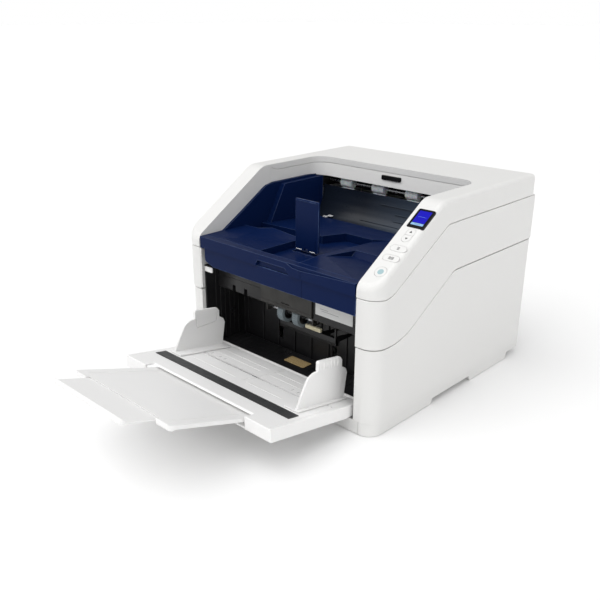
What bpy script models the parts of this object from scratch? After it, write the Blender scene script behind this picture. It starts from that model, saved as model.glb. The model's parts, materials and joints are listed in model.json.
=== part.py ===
"""Sheet fed document scanner: a desktop production scanner with a lifting input tray,
an opening lid that carries the output tray, and a control panel on its right arm.

Lengths are in millimetres and become metres where a mesh is made. X runs across the
machine, Y runs back from the front face of the pillars, Z is up from the table.
"""
from math import atan2, cos, hypot, pi, radians, sin, tan

import bmesh
import bpy
from mathutils import Matrix, Vector

MM = 0.001
GAP = 0.3              # clearance between neighbouring pieces
WALL = 3.0             # moulded wall thickness

# Housing
WIDTH = 483.0          # over the lid and the upper bands
DEPTH = 507.0          # front face of the pillars to the rear of the bands
HEIGHT = 388.5         # table to the top of the lid
BAY_WIDTH = 398.0      # between the inner faces of the two pillars
STEP = 2.0             # how far the bands stand proud of the lower covers
CORNER_RADIUS = 30.0   # upright front corners
PLINTH_HEIGHT = 26.0
FRONT_TOP = 276.0      # front edge of the lid's arms
LID_SEAM_FRONT = 253.0
LID_SEAM_REAR = 346.5
BAND_SEAM_FRONT = 166.0
BAND_SEAM_REAR = 257.0
LID_REAR = 497.0
LID_FASCIA_Y = 362.0   # wall above the paper exit
LID_KNEE_Y = 175.0     # where the sloping arms meet the flat top
PANEL_SLOPE = atan2(HEIGHT - FRONT_TOP, LID_KNEE_Y)

# Control panel, on the slope of the right arm
PANEL_X = 222.5
DISPLAY = (33.0, 44.0)         # across and along the slope
DISPLAY_ALONG = 160.5          # distance up the slope from the front edge
PILL_BUTTON = (31.0, 13.0)
START_RADIUS = 10.5

# Input tray, which rides on the elevator
TRAY_HALF_WIDTH = 193.0
TRAY_FRONT = -190.0
TRAY_FRONT_TOP = 86.8
TRAY_SLOPE = radians(10.12)
TRAY_REAR = 38.0
TRAY_THICKNESS = 24.4
TRAY_SKIN = 3.0
NOTCH_HALF_WIDTH = 133.0
NOTCH_DEPTH = 18.0
PLATFORM_REAR = 104.0
PLATFORM_TOP = 45.0
GUIDE_X = 162.0                # middle of each side guide's upright
GUIDE_SHEET = 4.0
EXTENSION_SLOPE = radians(18.0)
EXTENSION_FRONT = (-331.0, 127.5)
EXTENSION_HALF_WIDTH = 130.0
INNER_EXTENSION_FRONT = -388.0
INNER_EXTENSION_HALF_WIDTH = 95.0
LIP = 10.0

# Feed bay
LINER_HALF_WIDTH = 198.6
LINER_REAR = 115.0
CROSSBAR_Y = 38.0
HOUSING_HALF_WIDTH = 66.0
HOUSING_BOTTOM = 165.0
PICK_AXIS = (62.0, 151.0)
PICK_RADIUS = 20.0
PICK_ROLLER_X = 19.5
PICK_ROLLER_WIDTH = 15.0

# Output side, carried by the lid
EXIT_AXIS = (368.0, 335.0)
EXIT_RADIUS = 10.5
EXIT_ROLLERS_X = (-130.0, -43.5, 43.5, 130.0)
EXIT_ROLLER_WIDTH = 39.0
OUTPUT_HALF_WIDTH = 196.0
OUTPUT_REAR = 342.0
FLAP_Y = 97.0
FLAP_HALF_WIDTH = 29.0
FLAP_HEIGHT = 96.0
FLAP_PIN_Z = 268.5
LID_HINGE = (496.8, 347.0)

# Inside
FRAME_X = 178.0
PAPER_HALF_WIDTH = 160.0
FEED_AXIS = (136.0, 118.0)
TURN_AXIS = (420.0, 190.0)
MOTOR_AXIS = (268.0, 66.0)
SHAFT = 4.0                    # radius of the transport shafts
TRANSPORT_ROLLERS_X = (-110.0, -36.0, 36.0, 110.0)
FEED_PULLEY = 14.0
MOTOR_PULLEY = 7.0
BELT = (0.4, 2.0)              # its inside and outside, measured out from the pulleys

CENTRE_Y = (INNER_EXTENSION_FRONT + DEPTH) / 2.0
PARTS = "document_scanner"


def clear_scene():
    for piece in list(bpy.context.scene.objects):
        bpy.data.objects.remove(piece, do_unlink=True)


def new_collection(name):
    group = bpy.data.collections.new(name)
    bpy.context.scene.collection.children.link(group)
    return group


def at(x, y, z):
    """A point of the machine, in metres, with the origin under its middle."""
    return Vector((x * MM, (y - CENTRE_Y) * MM, z * MM))


def finish(name, colour, roughness, metallic=0.0):
    material = bpy.data.materials.new(name)
    material.use_nodes = True
    shader = material.node_tree.nodes["Principled BSDF"]
    shader.inputs["Base Color"].default_value = (*colour, 1.0)
    shader.inputs["Roughness"].default_value = roughness
    shader.inputs["Metallic"].default_value = metallic
    return material


def rounded(points, steps=4):
    """Replace each (a, b, radius) corner of a closed outline by an arc."""
    outline = []
    for index, point in enumerate(points):
        if len(point) == 2:
            outline.append(point)
            continue
        a, b, radius = point
        corner = Vector((a, b))
        back = (Vector(points[index - 1][:2]) - corner).normalized()
        ahead = (Vector(points[(index + 1) % len(points)][:2]) - corner).normalized()
        half = back.angle(ahead) / 2.0
        reach = radius / tan(half)
        middle = corner + (back + ahead).normalized() * (radius / sin(half))
        first = corner + back * reach - middle
        sweep = first.angle_signed(corner + ahead * reach - middle)
        for step in range(steps + 1):
            spoke = first.copy()
            spoke.rotate(Matrix.Rotation(-sweep * step / steps, 2))
            outline.append(tuple(middle + spoke))
    return outline


def tidy(mesh):
    """Weld coincident corners and turn every face outwards."""
    work = bmesh.new()
    work.from_mesh(mesh)
    bmesh.ops.remove_doubles(work, verts=work.verts, dist=1e-6)
    bmesh.ops.recalc_face_normals(work, faces=work.faces)
    work.to_mesh(mesh)
    work.free()


def add_piece(name, mesh, material):
    mesh.name = name
    mesh.materials.clear()
    mesh.materials.append(material)
    piece = bpy.data.objects.new(name, mesh)
    parts.objects.link(piece)
    return piece


def slab(name, points, low, high, axis, material):
    """An outline pulled along one axis: (y, z) along X, (x, z) along Y, (x, y) along Z."""
    sketch = bpy.data.curves.new(name, "CURVE")
    sketch.dimensions = "2D"
    sketch.fill_mode = "BOTH"
    sketch.extrude = (high - low) / 2.0 * MM
    corners = rounded(points)
    spline = sketch.splines.new("POLY")
    spline.points.add(len(corners) - 1)
    for point, (a, b) in zip(spline.points, corners):
        point.co = (a * MM, b * MM, 0.0, 1.0)
    spline.use_cyclic_u = True
    holder = bpy.data.objects.new(name, sketch)
    parts.objects.link(holder)
    bpy.context.view_layer.update()
    mesh = bpy.data.meshes.new_from_object(holder.evaluated_get(bpy.context.evaluated_depsgraph_get()))
    bpy.data.objects.remove(holder, do_unlink=True)
    middle = (low + high) / 2.0
    turns = {
        "X": (Matrix(((0, 0, 1), (1, 0, 0), (0, 1, 0))), at(middle, 0.0, 0.0)),
        "Y": (Matrix(((1, 0, 0), (0, 0, -1), (0, 1, 0))), at(0.0, middle, 0.0)),
        "Z": (Matrix.Identity(3), at(0.0, 0.0, middle)),
    }
    turn, place = turns[axis]
    mesh.transform(Matrix.Translation(place) @ turn.to_4x4())
    tidy(mesh)
    return add_piece(name, mesh, material)


def box(name, x, y, z, material):
    """A block given by its (low, high) limits on each axis."""
    work = bmesh.new()
    bmesh.ops.create_cube(work, size=1.0)
    low, high = at(x[0], y[0], z[0]), at(x[1], y[1], z[1])
    size = high - low
    bmesh.ops.scale(work, vec=size, verts=work.verts)
    bmesh.ops.translate(work, vec=(low + high) / 2.0, verts=work.verts)
    mesh = bpy.data.meshes.new(name)
    work.to_mesh(mesh)
    work.free()
    return add_piece(name, mesh, material)


def rod(name, radius, low, high, axis, centre, material, sides=24):
    """A cylinder along an axis, between low and high, round the other two coordinates."""
    work = bmesh.new()
    bmesh.ops.create_cone(
        work, cap_ends=True, segments=sides,
        radius1=radius * MM, radius2=radius * MM, depth=(high - low) * MM,
    )
    middle = (low + high) / 2.0
    if axis == "X":
        turn = Matrix.Rotation(pi / 2.0, 4, "Y")
        place = at(middle, *centre)
    elif axis == "Y":
        turn = Matrix.Rotation(pi / 2.0, 4, "X")
        place = at(centre[0], middle, centre[1])
    else:
        turn = Matrix.Identity(4)
        place = at(centre[0], centre[1], middle)
    bmesh.ops.transform(work, matrix=Matrix.Translation(place) @ turn, verts=work.verts)
    mesh = bpy.data.meshes.new(name)
    work.to_mesh(mesh)
    work.free()
    mesh.shade_smooth()
    mesh.set_sharp_from_angle(angle=radians(35))
    return add_piece(name, mesh, material)


def turned(name, stations, centre, material, steps=24):
    """A shaft along X: its (x, radius) stations are swept round the axis with Screw."""
    work = bmesh.new()
    corners = [work.verts.new((x * MM, 0.0, radius * MM)) for x, radius in stations]
    for first, second in zip(corners, corners[1:]):
        work.edges.new((first, second))
    mesh = bpy.data.meshes.new(name)
    work.to_mesh(mesh)
    work.free()
    piece = add_piece(name, mesh, material)
    piece.location = at(0.0, *centre)
    sweep = piece.modifiers.new("Sweep", "SCREW")
    sweep.axis = "X"
    sweep.steps = steps
    sweep.render_steps = steps
    sweep.use_merge_vertices = True
    sweep.merge_threshold = 1e-6
    sweep.use_normal_calculate = True
    sweep.use_normal_flip = True
    sweep.use_smooth_shade = False
    return piece


def shape_with(piece, tool, operation):
    """Cut, join or intersect a piece with a tool that moves to the hidden collection."""
    modifier = piece.modifiers.new(operation.title(), "BOOLEAN")
    modifier.operation = operation
    modifier.solver = "EXACT"
    modifier.object = tool
    parts.objects.unlink(tool)
    cutters.objects.link(tool)
    tool.hide_render = True
    tool.display_type = "WIRE"
    return piece


def cut(piece, *tools):
    for tool in tools:
        shape_with(piece, tool, "DIFFERENCE")
    return piece


def join(piece, *tools):
    for tool in tools:
        shape_with(piece, tool, "UNION")
    return piece


def keep_inside(piece, tool):
    return shape_with(piece, tool, "INTERSECT")


def pivot(name, point, *pieces):
    """An empty on a joint's axis that its pieces hang from, without moving them."""
    empty = bpy.data.objects.new(name, None)
    empty.location = at(*point)
    parts.objects.link(empty)
    bpy.context.view_layer.update()
    for piece in pieces:
        piece.parent = empty
        piece.matrix_parent_inverse = empty.matrix_world.inverted()
    return empty


def hang(parent, *children):
    """Hang pivots or pieces from a moving pivot."""
    bpy.context.view_layer.update()
    for child in children:
        child.parent = parent
        child.matrix_parent_inverse = parent.matrix_world.inverted()


def lid_seam(offset):
    """Line between lid and bands, in (y, z), raised by offset."""
    return [
        (-20.0, LID_SEAM_FRONT + offset),
        (38.5, LID_SEAM_FRONT + offset, 60.0),
        (193.0, LID_SEAM_REAR - 1.0 + offset, 30.0),
        (DEPTH + 20.0, LID_SEAM_REAR + offset),
    ]


def band_seam(offset):
    """Line between bands and lower covers, in (y, z), raised by offset."""
    return [
        (-20.0, BAND_SEAM_FRONT + offset),
        (75.0, BAND_SEAM_FRONT + offset, 120.0),
        (222.0, BAND_SEAM_REAR - 1.0 + offset, 30.0),
        (DEPTH + 20.0, BAND_SEAM_REAR + offset),
    ]


def on_slope(along, proud):
    """(y, z) of a point measured up the sloping arm and out from its surface."""
    y = along * cos(PANEL_SLOPE) - proud * sin(PANEL_SLOPE)
    z = FRONT_TOP + along * sin(PANEL_SLOPE) + proud * cos(PANEL_SLOPE)
    return y, z


def tray_top(y):
    return TRAY_FRONT_TOP - tan(TRAY_SLOPE) * (y - TRAY_FRONT)


def extension_top(y):
    return EXTENSION_FRONT[1] - tan(EXTENSION_SLOPE) * (y - EXTENSION_FRONT[0])


def column_plan(side, outer, front, rear, inset):
    """Plan of one side column, with its outer front corner rounded."""
    inner_x = side * (BAY_WIDTH / 2.0 + inset)
    outer_x = side * (outer - inset)
    points = [
        (inner_x, front + inset),
        (outer_x, front + inset, CORNER_RADIUS - inset),
        (outer_x, rear - inset, max(10.0 - inset, 1.0)),
        (inner_x, rear - inset),
    ]
    return points if side > 0 else points[::-1]


def column(name, side, outer, front, rear, lower_line, upper_line, roof, material):
    """A hollow side column between two side-view lines, open below."""
    half = WIDTH / 2.0 + 10.0
    body = slab(name, column_plan(side, outer, front, rear, 0.0), 0.0, HEIGHT, "Z", material)
    profile = lower_line(GAP) + upper_line(-GAP)[::-1]
    keep_inside(body, slab(name + "_profile", profile, -half, half, "X", material))
    hollow = slab(name + "_hollow", column_plan(side, outer, front, rear, WALL), -5.0, HEIGHT, "Z", material)
    inside = lower_line(-15.0) + upper_line(-roof)[::-1]
    keep_inside(hollow, slab(name + "_hollow_profile", inside, -half, half, "X", material))
    return cut(body, hollow)


def plinth_line(offset):
    return [(-20.0, PLINTH_HEIGHT + offset), (DEPTH + 20.0, PLINTH_HEIGHT + offset)]


def make_base():
    """Plinth pan with its front and rear skirts, four rubber feet and the side covers."""
    half = WIDTH / 2.0 - STEP
    profile = [
        (STEP + 1.0, 0.8), (183.0, 0.8), (187.0, 11.5), (313.0, 11.5), (317.0, 0.8),
        (456.0, 0.8), (460.0, 14.5), (DEPTH - 4.0, 14.5), (DEPTH - 4.0, PLINTH_HEIGHT),
        (STEP + 1.0, PLINTH_HEIGHT),
    ]
    pan = slab("base_pan", profile, -half + 1.0, half - 1.0, "X", white)
    corners = slab(
        "base_pan_corners",
        [(-half + 1.0, STEP + 1.0, CORNER_RADIUS), (half - 1.0, STEP + 1.0, CORNER_RADIUS),
         (half - 1.0, DEPTH), (-half + 1.0, DEPTH)],
        -5.0, 60.0, "Z", white,
    )
    keep_inside(pan, corners)
    inner = half - 1.0 - WALL
    cut(
        pan,
        slab("base_pan_inside",
             [(-inner, 3.0 + WALL, 25.0), (inner, 3.0 + WALL, 25.0), (inner, 499.0), (-inner, 499.0)],
             18.0, 60.0, "Z", white),
        box("base_pan_front_recess", (-inner + 6.0, inner - 6.0), (36.0, 178.0), (-5.0, 12.0), white),
        box("base_pan_rear_recess", (-inner + 6.0, inner - 6.0), (323.0, 449.0), (-5.0, 12.0), white),
    )
    for name, x, y in (
        ("rubber_foot_front_left", -200.0, 60.0), ("rubber_foot_front_right", 200.0, 60.0),
        ("rubber_foot_rear_left", -200.0, 430.0), ("rubber_foot_rear_right", 200.0, 430.0),
    ):
        rod(name, 11.0, 0.0, 12.0 - GAP, "Z", (x, y), rubber)
    for name, side in (("left_side_cover", -1), ("right_side_cover", 1)):
        column(name, side, half, STEP, DEPTH - STEP, plinth_line, band_seam, -20.0, white)
    for name, side in (("left_band", -1), ("right_band", 1)):
        column(name, side, WIDTH / 2.0, 0.0, DEPTH, band_seam, lid_seam, WALL, white)


def make_rear():
    """Rear cover with the power inlet, rocker switch and data port in its cut-outs."""
    half = BAY_WIDTH / 2.0 - GAP
    low, high = PLINTH_HEIGHT + GAP, LID_SEAM_REAR - GAP
    cover = box("rear_cover", (-half, half), (DEPTH - 6.0, DEPTH - 3.0), (low, high), white)
    cut(
        cover,
        box("inlet_cutout", (110.0, 138.0), (DEPTH - 20.0, DEPTH + 5.0), (60.0, 82.0), black),
        box("switch_cutout", (147.0, 161.0), (DEPTH - 20.0, DEPTH + 5.0), (60.0, 82.0), black),
        box("port_cutout", (60.0, 73.0), (DEPTH - 20.0, DEPTH + 5.0), (64.0, 76.0), black),
    )
    inlet = box("power_inlet", (110.3, 137.7), (DEPTH - 24.0, DEPTH - 2.5), (60.3, 81.7), black)
    cut(inlet, box("inlet_socket", (113.0, 135.0), (DEPTH - 18.0, DEPTH + 5.0), (63.0, 79.0), black))
    port = box("data_port", (60.3, 72.7), (DEPTH - 20.0, DEPTH - 2.5), (64.3, 75.7), steel)
    cut(port, box("port_socket", (61.6, 71.4), (DEPTH - 14.0, DEPTH + 5.0), (65.6, 74.4), black))
    profile = [
        (DEPTH - 14.0, 62.0), (DEPTH - 3.0, 61.5), (DEPTH - 1.5, 71.0), (DEPTH + 0.0, 80.5),
        (DEPTH - 14.0, 80.0),
    ]
    switch = slab("power_switch", profile, 147.6, 160.4, "X", black)
    pivot("power_switch_pivot", (154.0, DEPTH - 6.0, 71.0), switch)


def make_frame():
    """Steel side frames, scan units, transport shafts, motor, belt and boards."""
    outline = [
        (118.0, 29.0), (470.0, 29.0), (470.0, 320.0), (356.0, 320.0), (356.0, 236.0), (118.0, 236.0),
    ]
    for name, side in (("left_frame", -1), ("right_frame", 1)):
        inner, outer = sorted((side * FRAME_X, side * (FRAME_X + 2.0)))
        plate = slab(name, outline, inner, outer, "X", steel)
        for index, centre in enumerate((FEED_AXIS, TURN_AXIS)):
            cut(plate, rod("%s_bore_%d" % (name, index), 5.0, -230.0, 230.0, "X", centre, steel))
        if side < 0:
            cut(plate, rod("motor_bore", 5.0, -230.0, 0.0, "X", MOTOR_AXIS, steel))
    half = PAPER_HALF_WIDTH
    box("lower_scan_unit", (-half, half), (166.0, 228.0), (62.0, 112.0), grey)
    box("lower_scan_glass", (-half, half), (172.0, 222.0), (112.0 + GAP, 115.0), glass)
    box("upper_scan_unit", (-half, half), (166.0, 228.0), (126.0 + GAP, 176.0), grey)
    box("upper_scan_glass", (-half, half), (172.0, 222.0), (123.0, 126.0), glass)
    feed = [(-194.0, 0.0), (-194.0, FEED_PULLEY), (-183.0, FEED_PULLEY), (-183.0, SHAFT)]
    turn = [(-184.0, 0.0), (-184.0, SHAFT)]
    for x in TRANSPORT_ROLLERS_X:
        feed += [(x - 18.0, SHAFT), (x - 18.0, 11.0), (x + 18.0, 11.0), (x + 18.0, SHAFT)]
        turn += [(x - 20.0, SHAFT), (x - 20.0, 34.0), (x + 20.0, 34.0), (x + 20.0, SHAFT)]
    feed_shaft = turned("feed_shaft", feed + [(184.0, SHAFT), (184.0, 0.0)], FEED_AXIS, rubber)
    turn_shaft = turned("turn_shaft", turn + [(184.0, SHAFT), (184.0, 0.0)], TURN_AXIS, rubber)
    motor = turned("drive_motor", [(-177.0, 0.0), (-177.0, 28.0), (-120.0, 28.0), (-120.0, 0.0)],
                   MOTOR_AXIS, grey)
    cut(motor, rod("motor_shaft_bore", 3.3, -178.0, -150.0, "X", MOTOR_AXIS, steel))
    pulley = turned(
        "motor_pulley",
        [(-194.0, 0.0), (-194.0, MOTOR_PULLEY), (-183.0, MOTOR_PULLEY), (-183.0, 3.0),
         (-160.0, 3.0), (-160.0, 0.0)],
        MOTOR_AXIS, steel,
    )
    make_belt()
    box("main_board", (-150.0, 40.0), (300.0, 480.0), (32.0, 34.0), board)
    box("power_supply", (60.0, 170.0), (300.0, 470.0), (32.0, 56.0), steel)
    pivot("feed_shaft_pivot", (0.0, *FEED_AXIS), feed_shaft)
    pivot("turn_shaft_pivot", (0.0, *TURN_AXIS), turn_shaft)
    pivot("motor_pivot", (0.0, *MOTOR_AXIS), pulley)


def belt_outline(first, second, steps=8):
    """Closed loop of a belt round two (y, z, radius) pulleys."""
    (y1, z1, r1), (y2, z2, r2) = first, second
    heading = atan2(z2 - z1, y2 - y1)
    lean = atan2(r1 - r2, hypot(y2 - y1, z2 - z1))
    loop = []
    for centre, radius, start, sweep in (
        ((y1, z1), r1, heading + pi / 2.0 - lean, pi + 2.0 * lean),
        ((y2, z2), r2, heading - pi / 2.0 + lean, pi - 2.0 * lean),
    ):
        for step in range(steps + 1):
            angle = start + sweep * step / steps
            loop.append((centre[0] + radius * cos(angle), centre[1] + radius * sin(angle)))
    return loop


def make_belt():
    """Toothless drive belt from the motor pulley to the feed shaft's pulley."""
    inner, outer = (
        belt_outline((*MOTOR_AXIS, MOTOR_PULLEY + out), (*FEED_AXIS, FEED_PULLEY + out)) for out in BELT
    )
    belt = slab("drive_belt", outer, -193.0, -184.0, "X", rubber)
    cut(belt, slab("drive_belt_inside", inner, -200.0, -180.0, "X", rubber))


def make_feed_bay():
    """Black liner, crossbar, roller housing, pick rollers, fascia and small trim."""
    outer, inner = LINER_HALF_WIDTH, LINER_HALF_WIDTH - WALL
    low, high = PLINTH_HEIGHT + GAP + 2.0, 215.0
    plan = [
        (-outer, 10.0), (-inner, 10.0), (-inner, LINER_REAR - WALL), (inner, LINER_REAR - WALL),
        (inner, 10.0), (outer, 10.0), (outer, LINER_REAR), (-outer, LINER_REAR),
    ]
    slab("bay_liner", plan, low, high, "Z", black)
    bar = box("front_crossbar", (-inner + GAP, inner - GAP), (CROSSBAR_Y + 4.0, CROSSBAR_Y + 22.0),
              (162.0, high), dark)
    cut(bar, box("crossbar_notch", (-HOUSING_HALF_WIDTH - GAP, HOUSING_HALF_WIDTH + GAP),
                 (0.0, 200.0), (150.0, 205.0 + GAP), dark))
    housing = box("roller_housing", (-HOUSING_HALF_WIDTH, HOUSING_HALF_WIDTH),
                  (CROSSBAR_Y, LINER_REAR - WALL - GAP), (HOUSING_BOTTOM, 205.0), dark)
    cut(housing, box("housing_inside", (-HOUSING_HALF_WIDTH + 4.0, HOUSING_HALF_WIDTH - 4.0),
                     (CROSSBAR_Y + 3.0, 107.0), (100.0, 201.0), dark))
    cheeks = []
    for index, side in enumerate((-1, 1)):
        x = sorted((side * (HOUSING_HALF_WIDTH - 4.5), side * (HOUSING_HALF_WIDTH - 8.0)))
        cheek = box("cheek_%d" % index, x, (48.0, 76.0), (142.0, 202.0), dark)
        cheeks.append(cheek)
    bearing_bars = [
        box("cheek_tie_%d" % index, sorted((side * 57.0, side * 63.0)), (50.0, 74.0), (190.0, 203.0), dark)
        for index, side in enumerate((-1, 1))
    ]
    join(housing, *cheeks, *bearing_bars)
    cut(housing, rod("pick_bore", 3.6, -64.0, 64.0, "X", PICK_AXIS, dark))
    shaft = turned("pick_shaft", [(-61.0, 0.0), (-61.0, 3.2), (61.0, 3.2), (61.0, 0.0)], PICK_AXIS, steel)
    rollers = []
    for name, side in (("pick_roller_left", -1), ("pick_roller_right", 1)):
        low_x = side * PICK_ROLLER_X - PICK_ROLLER_WIDTH / 2.0
        roller = rod(name, PICK_RADIUS, low_x, low_x + PICK_ROLLER_WIDTH, "X", PICK_AXIS, rollers_grey, 32)
        cut(roller, rod(name + "_bore", 3.2 + GAP, low_x - 5.0, low_x + 30.0, "X", PICK_AXIS, black))
        rollers.append(roller)
    pivot("pick_shaft_pivot", (0.0, *PICK_AXIS), shaft, *rollers)
    half = OUTPUT_HALF_WIDTH - 1.0
    slab("front_fascia", [(-189.0, 252.5), (-189.0, 227.0), (-165.0, 218.0), (half, 218.0), (half, 252.5)],
         4.0, 8.0, "Y", blue)
    box("guide_label", (73.0, 160.0), (CROSSBAR_Y + 3.1, CROSSBAR_Y + 4.0 - GAP), (177.0, 201.0), paper)
    box("release_tab", (30.0, 69.0), (CROSSBAR_Y + 22.0, CROSSBAR_Y + 28.0), (131.5, 139.5), cream)


def make_input_tray():
    """Elevator tray, its black platform, pad and strip, the side guides and extensions."""
    low, high = -TRAY_HALF_WIDTH, TRAY_HALF_WIDTH
    under = TRAY_THICKNESS
    profile = [
        (TRAY_FRONT, tray_top(TRAY_FRONT), 2.0), (TRAY_FRONT, tray_top(TRAY_FRONT) - under, 3.0),
        (-8.0, tray_top(-8.0) - under), (TRAY_REAR, 30.0), (TRAY_REAR, tray_top(TRAY_REAR)),
    ]
    tray = slab("input_tray", profile, low, high, "X", white)
    skin = TRAY_SKIN
    pocket = [
        (TRAY_FRONT + 4.0, tray_top(TRAY_FRONT + 4.0) - skin), (TRAY_FRONT + 4.0, 0.0),
        (TRAY_REAR - 4.0, 0.0), (TRAY_REAR - 4.0, tray_top(TRAY_REAR - 4.0) - skin),
    ]
    slot_y = (-52.0, -44.0)
    cut(
        tray,
        slab("tray_pocket", pocket, low + 3.5, high - 3.5, "X", white),
        box("tray_notch", (-NOTCH_HALF_WIDTH, NOTCH_HALF_WIDTH),
            (TRAY_FRONT - 10.0, TRAY_FRONT + NOTCH_DEPTH), (40.0, 120.0), white),
        box("guide_slot", (-168.0, 168.0), slot_y, (40.0, 120.0), white),
    )
    strip_low, strip_high = -135.0, -111.0
    strip_profile = [
        (strip_low, tray_top(strip_low) + GAP), (strip_high, tray_top(strip_high) + GAP),
        (strip_high, tray_top(strip_high) + 1.1), (strip_low, tray_top(strip_low) + 1.1),
    ]
    strip = slab("tray_strip", strip_profile, -178.0, 178.0, "X", dark)
    platform = box("lift_platform", (low + 2.0, high - 2.0), (TRAY_REAR + GAP, PLATFORM_REAR),
                   (PLATFORM_TOP - 8.0, PLATFORM_TOP), black)
    pad = box("stack_pad", (-26.0, 26.0), (60.0, 84.0), (PLATFORM_TOP + GAP, PLATFORM_TOP + 1.3), tan_pad)
    lift = pivot("lift_pivot", (0.0, 0.0, 0.0), tray, strip, platform, pad)
    guides = [make_guide(name, side, slot_y) for name, side in (("left_guide", -1), ("right_guide", 1))]
    pinion = rod("guide_pinion", 8.0, tray_top(-48.0) - 11.0, tray_top(-48.0) - 5.0, "Z",
                 (0.0, -48.0), grey, 16)
    hang(lift, *guides, pivot("guide_pinion_pivot", (0.0, -48.0, tray_top(-48.0)), pinion))
    hang(lift, make_extensions())


def make_guide(name, side, slot_y):
    """Upright side guide with its grip tab, foot and the slide under the tray."""
    foot_line = 0.6
    upright = [
        (-102.5, tray_top(-102.5) + foot_line), (-91.0, 94.0), (-74.0, 121.0, 14.0),
        (-60.0, 126.5, 8.0), (-51.0, 126.5), (-50.0, 144.0, 3.0), (6.6, 134.0, 5.0), (12.0, 127.0),
        (11.8, 114.0), (22.0, 107.4, 3.0), (25.7, 98.0), (17.5, tray_top(17.5) + foot_line),
    ]
    half = GUIDE_SHEET / 2.0
    x = sorted((side * (GUIDE_X - half), side * (GUIDE_X + half)))
    guide = slab(name, upright, *x, "X", white)
    flange = [
        (-106.0, tray_top(-106.0) + foot_line), (17.5, tray_top(17.5) + foot_line),
        (17.5, tray_top(17.5) + foot_line + 2.6), (-106.0, tray_top(-106.0) + foot_line + 2.6),
    ]
    x = sorted((side * 138.0, side * 171.0))
    join(guide, slab(name + "_flange", flange, *x, "X", white))
    middle = sum(slot_y) / 2.0
    neck_x = sorted((side * (GUIDE_X - 4.0), side * (GUIDE_X + 4.0)))
    join(guide, box(name + "_neck", neck_x, (middle - 2.5, middle + 2.5),
                    (tray_top(middle) - 9.0, tray_top(middle) + 2.0), white))
    rack_y = (middle + 8.6, middle + 12.6) if side > 0 else (middle - 12.6, middle - 8.6)
    rack_x = sorted((side * (GUIDE_X + 4.0), side * -8.0))
    top = tray_top(middle) - 6.0
    join(
        guide,
        box(name + "_link", neck_x, (min(rack_y[0], middle - 2.5), max(rack_y[1], middle + 2.5)),
            (top - 4.0, top), white),
        box(name + "_rack", rack_x, rack_y, (top - 4.0, top), white),
    )
    return pivot(name + "_pivot", (side * GUIDE_X, middle, tray_top(middle)), guide)


def make_extensions():
    """Two telescoping tray extensions with upturned front lips."""
    front_y, front_z = EXTENSION_FRONT
    rear_y = TRAY_FRONT + NOTCH_DEPTH + 10.0
    profile = [
        (front_y, front_z, 2.0), (front_y, front_z - LIP), (front_y + 6.0, front_z - LIP - 1.0),
        (front_y + 8.0, extension_top(front_y + 8.0) - 7.0), (rear_y, extension_top(rear_y) - 7.0),
        (rear_y, extension_top(rear_y)),
    ]
    outer = slab("tray_extension", profile, -EXTENSION_HALF_WIDTH, EXTENSION_HALF_WIDTH, "X", white)
    channel = [
        (front_y - 5.0, extension_top(front_y - 5.0) - 2.0), (front_y - 5.0, extension_top(front_y) - 30.0),
        (rear_y - 5.0, extension_top(rear_y - 5.0) - 30.0), (rear_y - 5.0, extension_top(rear_y - 5.0) - 2.0),
    ]
    gap_half = INNER_EXTENSION_HALF_WIDTH + 1.0
    cut(outer, slab("extension_channel", channel, -gap_half, gap_half, "X", white))
    front_dip = [
        (front_y - 5.0, front_z + 5.0), (front_y - 5.0, extension_top(front_y - 5.0) - 30.0),
        (front_y + 7.0, extension_top(front_y + 7.0) - 30.0), (front_y + 7.0, extension_top(front_y + 7.0) + 5.0),
    ]
    cut(outer, slab("extension_dip", front_dip, -gap_half, gap_half, "X", white))
    end_y = INNER_EXTENSION_FRONT
    sheet_low = front_y + 62.0
    inner_profile = [
        (end_y, 137.0), (end_y + 2.0, 148.0, 1.0), (end_y + 8.0, extension_top(end_y + 8.0) - 2.6),
        (sheet_low, extension_top(sheet_low) - 2.6), (sheet_low, extension_top(sheet_low) - 5.6),
        (end_y + 8.0, extension_top(end_y + 8.0) - 5.6),
    ]
    inner = slab("tray_extension_inner", inner_profile, -INNER_EXTENSION_HALF_WIDTH,
                 INNER_EXTENSION_HALF_WIDTH, "X", white)
    outer_pivot = pivot("extension_pivot", (0.0, front_y, front_z), outer)
    hang(outer_pivot, pivot("inner_extension_pivot", (0.0, end_y, 140.0), inner))
    return outer_pivot


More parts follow.
